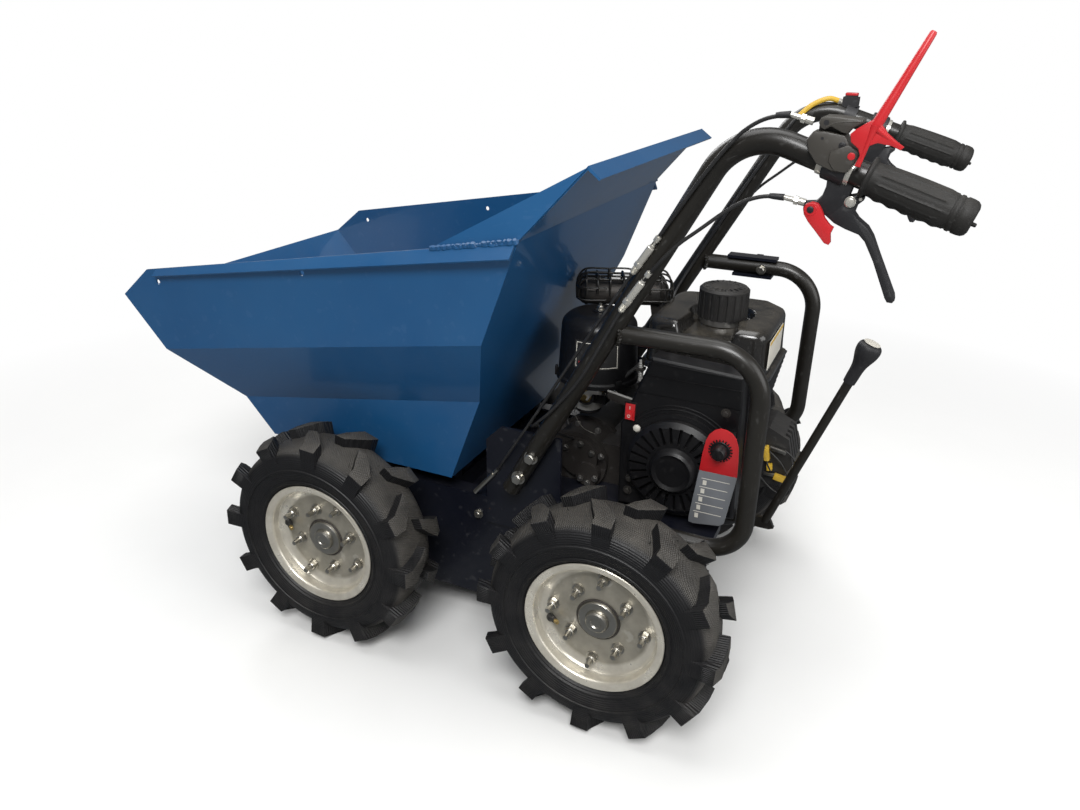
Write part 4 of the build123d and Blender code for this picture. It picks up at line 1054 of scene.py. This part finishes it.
def makeTipHousing():
    # two-part housing of the tipping control, with its screws and pivot cap
    look = dict(
        parts=(
            (258, 38, 2.4, [(-478, 940), (-472, 931), (-476, 918), (-486, 905), (-507, 897), (-520, 896),
                (-526, 903), (-534, 918), (-532, 923), (-520, 929), (-514, 938), (-501, 940),
                (-491, 941.5)]),
            (264, 34, 1.8, [(-483.5, 950.5), (-485, 955.5), (-490, 958), (-504, 958), (-531, 955.6),
                (-532.4, 953), (-521.6, 946.6), (-516.5, 940), (-510, 941), (-497.7, 947), (-491, 943.2),
                (-486, 945.6)]),
            (270, 28.6, 2.2, [(-500.7, 919.5), (-499.6, 908.7), (-507.2, 898.4), (-520.7, 897), (-526, 903),
                (-532.6, 917.7), (-530.6, 922), (-519.4, 928.4), (-510.5, 924.6)])),
        screws=(
            ((-489.8, 296, 933.6), [(-1, 1.7), (0.25, 1.7)], 16, 1),
            ((-492, 298, 951.2), [(-1, 3), (0.25, 3)], 16, 1),
            ((-524.6, 297.8, 916), [(0, 4.4), (1.4, 4.2), (1.8, 3.2)], 24, 2),
            ((-512.8, 295.5, 926.8), [(0, 4.2), (1.2, 4), (1.7, 2.8)], 20, 1)),
        ridge=((-492, 946), (-503, 951.5), (-517, 953), (-529, 953.4)))
    shape = bmesh.new()
    for y, thick, edge, outline in look["parts"]:
        sidePlate(shape, y, outline, thick, edge)
    block(shape, spot(-500, 276, 944), (34, 18, 10), bevel=1.5)
    for at, profile, sides, finish in look["screws"]:
        turned(shape, spot(*at), axisY, profile, sides, finish)
    for turn in (0.5, 0.5 + pi / 2):
        along = Vector((cos(turn), 0, sin(turn)))
        block(shape, spot(-512.8, 297.2, 926.8), (5, 0.9, 0.5), (along, axisY, along.cross(axisY)), 0, 3)
    finishPiece("tip_housing", shape, "controlGrey leverBlack controlRed cableSheath", 32,
                standsFor="tip_control")
    ridge = flowingSpots(*[(x, 297.6, z) for x, z in look["ridge"]])
    growWires("tip_housing_rib", [ridge], 1.6, "controlGrey", 6)


def makeTipLever():
    # red fan-shaped yoke and its long tapered rod, joined by a raised spine
    look = dict(
        fan=[(-520, 940.5), (-522, 932), (-531, 925), (-533.7, 918), (-529.4, 906), (-536, 905),
            (-538, 912.6), (-542.4, 929), (-550.4, 932.4), (-566, 930), (-575.4, 926), (-578.6, 929.4),
            (-566.8, 937.4), (-559.2, 943.5), (-551, 953), (-543.5, 957.6), (-535.6, 953.2), (-526, 946.4)],
        rods=(
            ((-545, 301.2, 949), (-587, 285, 1047.6), 24, [(0, 5.4), (0.06, 6.3), (0.3, 5.6), (0.7, 4.6),
                (0.975, 3.9), (0.995, 3), (1, 0)]),
            ((-545.5, 302.4, 951), (-535, 303, 911), 16, [(0, 5.6), (0.3, 3.6), (0.8, 2), (1, 1.2)]),
            ((-548, 303, 947), (-573, 302.6, 929.5), 12, [(0, 3.8), (0.6, 1.6), (1, 1)])))
    shape = bmesh.new()
    sidePlate(shape, 297.8, look["fan"], 6.4, 1.5)
    for start, end, sides, profile in look["rods"]:
        spike(shape, spot(*start), spot(*end), profile, sides)
    finishPiece("red_tip_lever", shape, "controlRed", 40, standsFor="tip_lever")


def makeLever(name, side):
    # clamp, perch and long bent blade of a hand lever
    look = dict(
        perch=[(-533, 893), (-514, 900), (-497, 903), (-500, 890), (-500, 878), (-497, 867), (-490, 859),
            (-478, 857.5), (-477, 850), (-486, 846), (-500, 843.5), (-512, 846), (-522, 856), (-528, 868),
            (-531, 880)],
        blade=[(-503, 844.5), (-515, 835.5), (-529, 829.5), (-545, 824.5), (-553, 817), (-566.4, 794),
            (-586.6, 751.4), (-590, 746.6), (-596, 746.4), (-598.4, 750), (-597, 756), (-570.4, 807),
            (-562, 824), (-554.4, 834.3), (-542, 843.4), (-536.6, 850), (-538.7, 859.3), (-544.6, 865),
            (-545, 870), (-537, 871.4), (-526, 868.6), (-518, 858)],
        clamp=[(-14, 16.2), (-14, 19.4), (-12.6, 20.8), (12.6, 20.8), (14, 19.4), (14, 16.2)],
        clampAt=0.556, middleY=273, halfThick=9.4)
    shape = bmesh.new()
    tip, knee = handle(side)
    ringed(shape, tip + (knee - tip) * look["clampAt"], knee - tip, look["clamp"], 48)
    lowY = side * look["middleY"] - look["halfThick"]
    sidePlate(shape, lowY, look["perch"], 18.8, 2.6)
    sidePlate(shape, lowY + 0.6, look["blade"], 17.6, 3.2)
    finishPiece("hand_lever_" + name, shape, "leverBlack", 40, standsFor="lever_" + name)


def makeCatch():
    # red hooked catch with a boss round its pin
    look = dict(
        hook=[(-495, 858.6), (-488, 860), (-481, 857), (-478.2, 851), (-480, 844.4), (-486, 836),
            (-496, 825.6), (-508, 812.4), (-513.6, 810.6), (-515.6, 814), (-514, 824), (-516.6, 832),
            (-512, 834.6), (-505, 842), (-500, 852)], boss=[(0, 8), (6.6, 8), (7.6, 7)])
    shape = bmesh.new()
    sidePlate(shape, 283.4, look["hook"], 6.8, 1.8)
    turned(shape, spot(-487, 283.4, 851), axisY, look["boss"])
    finishPiece("red_catch", shape, "controlRed", 40, standsFor="parking_catch")


def dressControls():
    # cable ends, adjusters, straps, pivots and the switch's button
    look = dict(
        adjusters=(((-288, 270.2, 782), (-260, 264.8, 739)), ((-279, 272.5, 733), (-247, 270, 684))),
        barrel=[(0, 3.4), (0.06, 3.6), (0.08, 5.2), (0.1, 5.4), (0.62, 5.4), (0.64, 4.4), (0.97, 4.4),
            (1, 3.6)], stem=[(0, 2.4), (1, 2.4)], lockNut=[(0, 4.4), (0.9, 4.4), (1, 3.8)],
        collar=[(0, 6.4), (0.9, 6.4), (1, 5.8)], threads=7, thread=[(0, 5), (1, 5)],
        fittings=(
            ((-476, 284, 950.6), (-449, 284, 957)),
            ((-478, 273, 855.8), (-452, 273, 860)),
            ((-448, -261.5, 940.6), (-434, -257.5, 944.4))),
        fitting=[(0, 4.6), (0.3, 4.6), (0.32, 3.4), (0.9, 3.2), (1, 2.9)], nut=[(0, 5.6), (1, 5.6)],
        straps=((1, 0.499), (1, 0.618), (-1, 0.499)),
        strap=[(-3.4, 17), (-3.4, 17.9), (3.4, 17.9), (3.4, 17)],
        pivot=[(0, 6.6), (1.4, 6.6), (2, 5.6), (3.4, 5), (4, 3.6)], pin=[(0, 2.2), (1.6, 2)],
        boots=(((-449, 284, 957), (-432, 283.4, 955.4)), ((-452, 273, 860), (-434, 273, 860.4))),
        boot=[(0, 4.2), (0.7, 3.8), (1, 3.2)], catchCap=[(0, 4.2), (1, 4), (1.6, 2.6)],
        sleeve=((-442, -259.8, 942.6), (-424, -254.3, 945.8), (-399, -248.8, 934.5), (-378, -241, 914)),
        knob=((-555, 105, 571), (-463, 105, 305)), knobHigh=0.0692,
        knobDisc=[(0, 12.4), (0.9, 12.2), (1.3, 10.8)])
    shape = bmesh.new()
    for top, foot in look["adjusters"]:
        top, foot = spot(*top), spot(*foot)
        run = foot - top
        upwards = -run.normalized()
        spike(shape, top + upwards * 0.017, top, look["stem"], 12)
        spike(shape, top + upwards * 0.015, top + upwards * 0.007, look["lockNut"], 6)
        spike(shape, top, foot, look["barrel"], 20)
        spike(shape, top + run * 0.62, top + run * 0.76, look["collar"], 6)
        for i in range(look["threads"]):
            at = top + run * (0.79 + 0.026 * i)
            spike(shape, at, at - upwards * 0.0007, look["thread"], 14)
    for start, end in look["fittings"]:
        start, end = spot(*start), spot(*end)
        run = end - start
        spike(shape, start, end, look["fitting"], 18)
        spike(shape, start + run * 0.34, start + run * 0.52, look["nut"], 6)
    for side, share in look["straps"]:
        tip, knee = handle(side)
        ringed(shape, tip + (knee - tip) * share, knee - tip, look["strap"], 40)
    for side in (1, -1):
        turned(shape, spot(-530, side * 281.8, 862.4), axisY * side, look["pivot"], 24)
        turned(shape, spot(-541, side * 281.6, 866.6), axisY * side, look["pin"], 10)
    finishPiece("control_fittings", shape, "paleZinc")

    shape = bmesh.new()
    turned(shape, spot(-487, 290.8, 851), axisY, look["catchCap"], 20)
    for start, end in look["boots"]:
        spike(shape, spot(*start), spot(*end), look["boot"])
    finishPiece("control_caps", shape, "leverBlack")

    shape = bmesh.new()
    block(shape, spot(-461, -268.7, 953.6), (20.8, 16.8, 4.8), bevel=1.4)
    finishPiece("stop_button", shape, "controlRed")
    growWires("yellow_sleeve", [flowingSpots(*look["sleeve"])], 8.6, "yellowSleeve", 14)

    high, low = (spot(*end) for end in look["knob"])
    rise = (high - low).normalized()
    shape = bmesh.new()
    turned(shape, high + rise * look["knobHigh"], rise, look["knobDisc"])
    finishPiece("knob_disc", shape, "paleLabel")


makeGrips()
makeTipHousing()
makeTipLever()
makeLever("left", 1)
makeLever("right", -1)
makeCatch()
dressControls()
print("handlebars dressed")


# ---- engine ----

def makeThrottlePlate():
    # leaning control plate: red head, grey foot with plain ruled rows, toothed ring round a knob
    look = dict(
        back=174.2, thick=2.6, split=411, rows=5, pitch=15.5, lean=0.13, firstRow=398, footTop=408,
        footEdges=(-414, -366), knob=(-391, 452), teeth=22, toothCircle=0.0172,
        tooth=(0.0042, 0.0022, 0.0014, 0.7),
        outline=[(-352, 313), (-360, 312), (-402, 318), (-409, 324), (-421, 408), (-420, 440), (-418, 462),
            (-413, 476), (-406, 484), (-397, 488), (-388, 489), (-379, 485), (-371, 476), (-367, 466),
            (-363, 440), (-361, 412), (-354, 350), (-351, 320)],
        dial=[(-0.4, 15.4), (1.6, 15.4), (2.2, 14.8), (2.2, 12), (4, 11.6), (17, 10.4), (18.6, 9)])
    outline, split = look["outline"], look["split"]

    def outlinePart(keepHigh):
        part = []
        for (x0, z0), (x1, z1) in zip(outline, outline[1:] + outline[:1]):
            if (z0 >= split) == keepHigh:
                part.append((x0, z0))
            if (z0 - split) * (z1 - split) < 0:
                part.append((x0 + (x1 - x0) * (split - z0) / (z1 - z0), split))
        return part

    shape = bmesh.new()
    for keepHigh, finish in ((True, 0), (False, 1)):
        sidePlate(shape, look["back"], outlinePart(keepHigh), look["thick"], 0.5, finish)
    front = look["back"] + look["thick"]
    for i in range(look["rows"]):
        z = look["firstRow"] - i * look["pitch"]
        start, end = (edge + (look["footTop"] - z) * look["lean"] for edge in look["footEdges"])
        block(shape, spot((start + end) / 2, front + 0.1, z), (end - start - 3, 0.5, 1.0),
              bevel=0, finish=2)
        block(shape, spot(end - 7, front + 0.1, z - 7.4), (6, 0.5, 8), bevel=0, finish=2)
    x, z = look["knob"]
    turned(shape, spot(x, look["back"] - 20, z), axisY, [(0, 7), (20, 7)], 20, 3)
    turned(shape, spot(x, front, z), axisY, look["dial"], 40, 3)
    block(shape, spot(x, front + 18.4, z), (5, 2.4, 17), bevel=0.8, finish=3)
    finishPiece("throttle_plate", shape, "controlRed greyLabel paleLabel coverPlastic",
                standsFor="throttle_panel")
    teeth = []
    for i in range(look["teeth"]):
        angle = tau * i / look["teeth"]
        out = Vector((cos(angle), 0, sin(angle)))
        teeth.append((spot(x, front + 0.5, z) + out * look["toothCircle"], axisY, out))
    growOn("throttle_teeth", barTree, teeth, look["tooth"], "coverPlastic")
    shape = bmesh.new()
    block(shape, spot(-399, 162, 472), (18, 24, 10), bevel=1)
    finishPiece("throttle_arm", shape, "coverPlastic")


def makeTank():
    # moulded tank: seam flange, one cut corner, and a sunk filler well with a spout towards the front
    look = dict(
        centre=(-330, -2), half=(107, 108), sides=160, cut=172, top=623, round=15, shoulder=572, power=8,
        cap=(-336, 8), wellRadius=54, wellDepth=14, spoutX=-331, spoutHalf=39, spoutDepth=16, spoutStart=-4,
        spoutFall=8, spoutLean=0.12, widening=20, edge=6, steps=30, neck=[(0, 37), (9.6, 37), (10.4, 35)],
        walls=((540, 0), (546.6, 0), (548.4, 1.2), (549, 6), (558, 6.4), (568, 7)),
        label=((-30, 560), (82, 560), (82, 606), (-30, 606)), ribs=20, ribCircle=0.0285,
        rib=(0.013, 0.0035, 0.0018, 0.6))
    (centreX, centreY), (capX, capY) = look["centre"], look["cap"]

    def eased(value):
        value = min(1.0, max(0.0, value))
        return value * value * (3 - 2 * value)

    def topHeight(x, y):
        well = look["wellDepth"] * eased((look["wellRadius"] - hypot(x - capX, y - capY)) / look["edge"])
        beyond = max(0.0, y - look["widening"])
        fall = look["spoutDepth"] + look["spoutFall"] * min(1.0, beyond / 80)
        across = abs(x - look["spoutX"]) - look["spoutLean"] * beyond
        sunk = eased((look["spoutHalf"] - across) / look["edge"])
        spout = fall * sunk * eased((y - look["spoutStart"]) / 12)
        return look["top"] - max(well, spout)

    def outline(inset):
        ring = []
        halfX, halfY = (half - inset for half in look["half"])
        for i in range(look["sides"]):
            c, d = cos(tau * i / look["sides"]), sin(tau * i / look["sides"])
            scale = (abs(c) ** look["power"] + abs(d) ** look["power"]) ** (-1 / look["power"])
            x, y = halfX * c * scale, halfY * d * scale
            over = max(0.0, (-y - x - look["cut"] + inset * 1.2) / 2)
            ring.append((centreX + x + over, centreY + y + over))
        return ring

    levels = [[(x, y, z) for x, y in outline(inset)] for z, inset in look["walls"]]
    for i in range(8):
        angle = pi / 2 * i / 7
        rim = outline(8 + look["round"] * (1 - cos(angle)))
        drop = look["round"] * (1 - sin(angle))
        levels.append([(x, y, max(look["shoulder"], topHeight(x, y) - drop)) for x, y in rim])
    for i in range(1, look["steps"]):
        share = 1 - i / look["steps"]
        ring = [(centreX + (x - centreX) * share, centreY + (y - centreY) * share) for x, y in rim]
        levels.append([(x, y, topHeight(x, y)) for x, y in ring])
    shape = bmesh.new()
    rings = [[shape.verts.new(spot(*point)) for point in level] for level in levels]
    around(shape, rings)
    shape.faces.new(rings[0][::-1])
    shape.faces.new(rings[-1])
    turned(shape, spot(capX, capY, 606), axisZ, look["neck"], 48, 1)
    finishPiece("moulded_tank", shape, "tankPlastic bareSteel", 50, standsFor="fuel_tank")

    shape = bmesh.new()
    plate(shape, [spot(-430.4, y, z) for y, z in look["label"]], -axisX, 1.0, 0.3)
    block(shape, spot(-431.2, 26, 602.6), (1.2, 111, 5), bevel=0, finish=1)
    finishPiece("tank_label", shape, "paleLabel yellowSleeve")

    ribs = []
    for i in range(look["ribs"]):
        out = Vector((cos(tau * i / look["ribs"]), sin(tau * i / look["ribs"]), 0))
        ribs.append((spot(capX, capY, 666.2) + out * look["ribCircle"], axisZ, out))
    growOn("cap_top_ribs", barTree, ribs, look["rib"], "capPlastic")


def dressAirCleaner():
    # bare label field with a thin frame, a top nut and the clip band
    look = dict(
        axis=(-134, 48), arc=(74, 142), field=(522, 572), radius=70.15, taper=4 / 84, foot=496,
        nut=(0.012, 0.006, 0.016, 0.001, 0.006, 0.004), clips=(20, 140, 260),
        clipCircle=0.0735, clipHeight=0.494, clip=(12, 5, 16),
        stem=[(0, 13), (1.5, 13), (2.5, 11), (3, 8)])
    centre = spot(*look["axis"], 0)
    (a, b), (low, high) = look["arc"], look["field"]
    shape = bmesh.new()

    def radiusAt(z):
        return look["radius"] - look["taper"] * (z - look["foot"])

    for angles, heights, thick, finish, steps in (
            ((a, b), (low, (low + high) / 2, high), 0.5, 0, 14),
            ((a + 3, b - 3), (low + 3, low + 4.2), 0.8, 1, 14),
            ((a + 3, b - 3), (high - 4.2, high - 3), 0.8, 1, 14),
            ((a + 3, a + 4), (low + 3, high - 3), 0.8, 1, 2),
            ((b - 4, b - 3), (low + 3, high - 3), 0.8, 1, 2),
            ((a + 8, a + 20), (low + 7, low + 13), 0.8, 2, 4)):
        curvedPatch(shape, centre, radiusAt, angles, heights, thick, finish, steps)
    turned(shape, spot(*look["axis"], 605.6), axisZ, look["stem"], 32, 3)
    for angle in look["clips"]:
        out = Vector((cos(radians(angle)), sin(radians(angle)), 0))
        block(shape, centre + out * look["clipCircle"] + axisZ * look["clipHeight"], look["clip"],
              (out.cross(axisZ), out, axisZ), 1.0, 3)
    finishPiece("cleaner_field", shape, "cableSheath paleLabel controlRed coverPlastic")
    growOn("cleaner_nut", boltTree, [(spot(*look["axis"], 608.4), axisZ)], look["nut"], "zincPlate")


def dressCarburettor():
    # bright bowl, drain nut, levers, springs, fuel hose and the bracket beside the shroud
    look = dict(
        turned=(
            ((-118, 45, 440), -axisZ, 36, 0, [(-0.5, 26), (2.6, 26), (2.6, 24.6), (16, 24.6), (23, 21),
                (26.6, 13)]),
            ((-118, 45, 414), -axisZ, 6, 1, [(-1, 6), (5, 6), (6, 4.8)]),
            ((-126, 84, 458), axisY, 28, 1, [(-0.4, 12), (2.2, 12), (3, 10), (3, 5), (9, 5)]),
            ((-150, 66, 466), axisY, 6, 1, [(-1, 5), (7, 5), (8, 4)])),
        lever=[(-132, 452), (-119, 455), (-118, 462), (-140, 476), (-158, 474), (-160, 468), (-142, 466)],
        bracket=[(-178, 488), (-226, 480), (-226, 474), (-212, 466), (-178, 474)],
        boot=[(0, 3.4)] + [(0.05 + 0.05 * i, 3.4 if i % 2 else 4.2) for i in range(18)] + [(1, 3.4)],
        coilTurns=13, coilRadius=0.0028, coilSteps=90,
        rods=(
            ((-140, 90, 476), (-170, 96, 488), (-198, 104, 482)),
            ((-120, 92, 455), (-112, 96, 430), (-128, 98, 404), (-150, 92, 392))),
        hoses=(
            ((-234, 52, 546), (-214, 66, 524), (-190, 76, 498), (-174, 72, 470), (-158, 60, 456)),
            ((-96, 40, 462), (-84, 60, 452), (-84, 76, 424), (-96, 84, 396))),
        clips=(((-229, 55, 540), (0.6, 0.4, -0.7)), ((-163, 64, 460), (0.7, -0.5, -0.5))))
    shape = bmesh.new()
    for at, axis, sides, finish, profile in look["turned"]:
        turned(shape, spot(*at), axis, profile, sides, finish)
    sidePlate(shape, 88, look["lever"], 1.6, 0.3)
    sidePlate(shape, 110, look["bracket"], 2, 0.4, 2)
    block(shape, spot(-201, 111, 484.5), (48, 5, 1.8), leaned(0.986, 0.165), 0.3)
    spike(shape, spot(-227, 90, 508), spot(-227, 90, 545), look["boot"])
    block(shape, spot(-227, 90, 530), (14, 14, 5), finish=2)
    finishPiece("carburettor_metal", shape, "castPale brassPlate hotSteel")
    coil = []
    start, end = spot(-156, 90, 471), spot(-206, 106, 478)
    for i in range(look["coilSteps"] + 1):
        t = i / look["coilSteps"]
        angle = tau * look["coilTurns"] * t
        coil.append(start + (end - start) * t + Vector((0, cos(angle), sin(angle))) * look["coilRadius"])
    rods = [flowingSpots(*rod) for rod in look["rods"]]
    growWires("governor_spring", [coil] + rods, 1.3, "zincPlate", 6)
    hoses = [flowingSpots(*hose) for hose in look["hoses"]]
    growWires("fuel_hoses", hoses, 8.0, "cableSheath", 14)
    shape = bmesh.new()
    for at, axis in look["clips"]:
        ringed(shape, spot(*at), axis, [(-2.4, 4.2), (-2.4, 5.2), (2.4, 5.2), (2.4, 4.2)], 24)
    finishPiece("hose_clips", shape, "zincPlate")


def dressShroud():
    # panel ridges, screws, the starter's ring of bolts and the rocker's bezel
    look = dict(
        starter=(-317, 397), arcs=(98, 104), steps=40, gearbox=(-116, 330),
        screw=(0.010, 0.005, 0.0155, 0.0012), bolt=(0.009, 0.0045, 0.012, 0.001),
        corners=((-388, 505), (-403, 336), (-236, 330)), starterBolts=(152, 242, 332),
        gearboxBolts=(15, 80, 118, 152, 205, 250, 292, 335),
        rings=((-124, 102, 342, 30, (0.6, 1.7, 2.6)), (-144, 108, 316, 16, (3.4, 4.6, 5.6))),
        plug=[(0, 6.4), (2.0, 6.2), (3.8, 4.2), (4.2, 0)],
        mark=[(0.4 * cos(tau * i / 6), 2.2 + 0.4 * sin(tau * i / 6)) for i in range(6)])

    def polar(centre, radius, angle, y):
        return spot(centre[0] + radius * cos(angle), y, centre[1] + radius * sin(angle))

    shape = bmesh.new()
    block(shape, spot(-328, 150.3, 566), (138, 2.0, 2.4), leaned(*Vector((1, 0.03)).normalized()), 0.5)
    block(shape, spot(-332, 150.3, 545), (152, 2.0, 2.0), bevel=0.5)
    block(shape, spot(-233, 150.6, 477), (22, 2.0, 34), bevel=0.7)
    for radius in look["arcs"]:
        ends = [polar(look["starter"], radius, radians(38 + 104 * i / look["steps"]), 149.8)
                for i in range(look["steps"] + 1)]
        for start, end in zip(ends, ends[1:]):
            spike(shape, start, end, [(0, 0), (-0.05, 1.5), (1.05, 1.5), (1, 0)], 8)
    finishPiece("shroud_ridges", shape, "coverPlastic")
    shape = bmesh.new()
    turned(shape, spot(-247, 154.6, 451), axisY, look["plug"], 24)
    block(shape, spot(-233, 155.6, 485), (1.2, 0.8, 5), bevel=0)
    ringed(shape, spot(-233, 159.5, 472), axisY, look["mark"], 20)
    finishPiece("shroud_plug", shape, "paleLabel")
    sites = [(spot(x, 150, z), axisY) for x, z in look["corners"]]
    sites += [(polar(look["starter"], 87, radians(angle), 155), axisY) for angle in look["starterBolts"]]
    growOn("shroud_screws", boltTree, sites, look["screw"], "hotSteel")
    sites = [(polar(look["gearbox"], 61, radians(angle), 108 if 118 < angle < 160 else 60), axisY)
             for angle in look["gearboxBolts"]]
    for x, y, z, radius, angles in look["rings"]:
        sites += [(polar((x, z), radius, angle, y), axisY) for angle in angles]
    growOn("gearbox_bolts", boltTree, sites, look["bolt"], "bareSteel")


def dressBack():
    # ribbed cowl under the tank, crankcase ribs with the oil plug, and the belt guard's rim and bolts
    look = dict(
        low=448, high=539, near=-419, far=-436, halfY=90, ribs=10, front=-370, ribFront=-372, margin=2.5,
        caseRibs=7, slats=9, plug=[(-1, 17), (4, 17), (5, 14), (12, 14), (14, 12)],
        rim=[(-389, 306), (-389, 462), (-380, 470), (-98, 470), (-89, 462), (-89, 306)],
        bolt=(0.011, 0.0055, 0.0155, 0.0012),
        bolts=((-378, 318), (-378, 452), (-240, 458), (-102, 452), (-102, 318), (-240, 312)))
    low, high, near, far = look["low"], look["high"], look["near"], look["far"]
    shape = bmesh.new()
    walls = [(look["front"], low), (near + 7, low), (far + 7, high), (look["front"], high)]
    sidePlate(shape, -86, walls, 172, 2.0)
    for i in range(look["ribs"]):
        share = i / (look["ribs"] - 1)
        edge = near + (far - near) * share
        z = low + look["margin"] + (high - low - 2 * look["margin"]) * share
        block(shape, spot((edge + look["ribFront"]) / 2, -1, z),
              (look["ribFront"] - edge, 2 * look["halfY"], 3.6), bevel=0.8)
    for i in range(look["caseRibs"]):
        block(shape, spot(-397, -2, 312 + i * 14), (7, 150, 4), bevel=0.8)
    finishPiece("rear_cowl", shape, "coverPlastic")

    shape = bmesh.new()
    turned(shape, spot(-395, 62, 318), -axisX, look["plug"], 12)
    rim = [spot(x, -172.4, z) for x, z in look["rim"]]
    for first, second in zip(rim, rim[1:] + rim[:1]):
        spike(shape, first, second, [(0, 2.6), (1, 2.6)], 10)
    for i in range(look["slats"]):
        block(shape, spot(-300 + i * 16, -173, 400), (6, 3, 46), bevel=1.2)
    finishPiece("guard_rim", shape, "frameBlack")
    sites = [(spot(x, -172, z), -axisY, (1, 0, 0.3)) for x, z in look["bolts"]]
    sites.append((spot(-396, 20, 306), -axisX, (0, 1, 0.2)))
    growOn("guard_bolts", boltTree, sites, look["bolt"], "bareSteel")


def caseMuffler():
    # more bent wires of the cage: low hoops at the ends, long wires down each side
    look = dict(
        reach=32.5, rise=36.5, thick=3.6, hoops=(-66, -24, 24, 66), ends=((-1, 17), (1, 24)),
        dome=[(-3, 23.4), (1.6, 23.4), (2.4, 21.6), (7, 20), (12, 15), (14.6, 8), (15.2, 0)])
    start, end = spot(-84, -10, 619), spot(-202, -62, 618)
    along = (end - start).normalized()
    across = axisZ.cross(along).normalized()
    up = along.cross(across)
    centre = (start + end) / 2
    half = (end - start).length * 500
    lines = []

    def bend(*points):
        lines.append(flowing([centre + (along * a + across * b + up * c) / 1000 for a, b, c in points], 5))

    r, h, e = look["reach"], look["rise"], half + 15
    for x in look["hoops"]:
        bend((x, -r, 2), (x, -r, h - 12), (x, -r + 9, h - 1), (x, 0, h), (x, r - 9, h - 1), (x, r, h - 12),
             (x, r, -14), (x, r - 8, -24))
    for way, beyond in look["ends"]:
        tip = half + beyond
        for c in (16, -6):
            bend((way * 30, -r - 1, c), (way * (tip - 13), -r - 1, c), (way * (tip - 2), -r + 9, c),
                 (way * tip, 0, c), (way * (tip - 2), r - 9, c), (way * (tip - 13), r + 1, c),
                 (way * 30, r + 1, c))
        for b in (-15, 13):
            bend((way * 22, b, h + 3), (way * (tip - 19), b, h + 3), (way * (tip - 5), b, h - 7),
                 (way * tip, b, h - 22), (way * tip, b, -8))
    for a, b, width in ((-26, -17, 40), (18, -3, 34)):
        bend((a, b, h - 4), (a, b + 1, h + 7), (a + 6, b + 2, h + 11), (a + width - 6, b + 2, h + 11),
             (a + width, b + 1, h + 7), (a + width, b, h - 4))
    for b, c in ((r + 2, 6), (r + 1, -12)):
        bend((-e + 2, b - 22, c), (-e, b - 9, c), (-e + 9, b, c), (0, b, c), (e - 9, b, c), (e, b - 9, c),
             (e - 2, b - 22, c))
    shape = bmesh.new()
    turned(shape, start, -along, look["dome"], 40)
    turned(shape, end, along, look["dome"], 40)
    finishPiece("muffler_ends", shape, "hotSteel")
    growWires("muffler_cage", lines, look["thick"], "tubeBlack")


def dressRear():
    # yellow connectors and wires at the regulator, hoop clamp bolts
    look = dict(
        lean=leaned(0.98, -0.17), tilt=leaned(0.98, 0.17), clamp=(0.014, 0.007, 0.019, 0.0015),
        ring=[(-1, 8), (1.5, 8), (2, 6), (2, 4), (8, 4)],
        wires=(
            ((-471, 30, 403), (-487, 34, 392), (-494, 34, 366), (-486, 30, 344), (-476, 30, 350)),
            ((-441, 30, 380), (-446, 34, 372), (-452, 34, 362)),
            ((-438, 30, 404), (-424, 32, 420), (-408, 24, 436), (-396, 8, 444), (-392, -10, 446)),
            ((-478, 30, 346), (-488, 33, 332), (-478, 35, 320), (-452, 31, 330), (-432, 26, 346)),
            ((-446, 30, 396), (-468, 36, 380), (-484, 36, 352), (-480, 34, 338))))
    shape = bmesh.new()
    for at, size, axes in (((-441, 30, 392), (9, 11, 27), "lean"), ((-468, 30, 350), (20, 10, 10), "tilt"),
                           ((-449, 30, 367), (9, 9, 12), "lean")):
        block(shape, spot(*at), size, look[axes], 1.2)
    finishPiece("wire_connectors", shape, "yellowSleeve")
    shape = bmesh.new()
    block(shape, spot(-459, 30, 401), (28, 5, 6), look["tilt"])
    block(shape, spot(-450, 30, 353), (18, 4, 5))
    turned(shape, spot(-426, 22, 372), axisY, look["ring"], 20)
    finishPiece("wire_terminals", shape, "zincPlate")
    wires = [flowingSpots(*wire) for wire in look["wires"]]
    growWires("regulator_wires", wires, 3.0, "cableSheath")
    sites = [(spot(-350, y, 640), (0, way, 0), (1, 0, 0.3)) for y, way in ((-231.8, 1), (-260.2, -1))]
    growOn("hoop_clamp_bolt", boltTree, sites, look["clamp"], "zincPlate")


def layWelds():
    # beads where the hoops meet the handlebars and where the wings stand on the rim
    look = dict(
        hoop=(0.006, 0.0055, 0.004, 0.45, 7), wing=(0.008, 0.0062, 0.0042, 0.5, 8), hoopBeads=22,
        wingBeads=34, tube=0.0145, pitch=4.15, slope=0.1727)
    beads = []
    for side in (1, -1):
        for i in range(look["hoopBeads"]):
            angle = tau * i / look["hoopBeads"]
            out = Vector((0, cos(angle), sin(angle)))
            centre = spot(-242 - 3 * cos(angle * 2), side * 246, 642)
            beads.append((centre + out * look["tube"], out, axisX))
    growOn("hoop_welds", barTree, beads, look["hoop"], "tubeBlack")
    beads = []
    for side in (1, -1):
        for i in range(look["wingBeads"]):
            if i % 11 == 8:
                continue
            x = 32 - i * look["pitch"] + 0.8 * sin(i * 2.3)
            z = 776.2 - (x + 108) * look["slope"]
            beads.append((spot(x, side * 316.4, z), (0, side * 0.55, 0.83), (1, 0, -0.17),
                          (1 + 0.4 * sin(i * 1.9), 1 + 0.3 * sin(i * 2.7), 1 + 0.4 * sin(i * 3.1))))
    growOn("wing_welds", barTree, beads, look["wing"], "skipBlue", "skip")


makeThrottlePlate()
makeTank()
dressAirCleaner()
dressCarburettor()
dressShroud()
caseMuffler()
dressBack()
dressRear()
layWelds()
print("engine dressed")
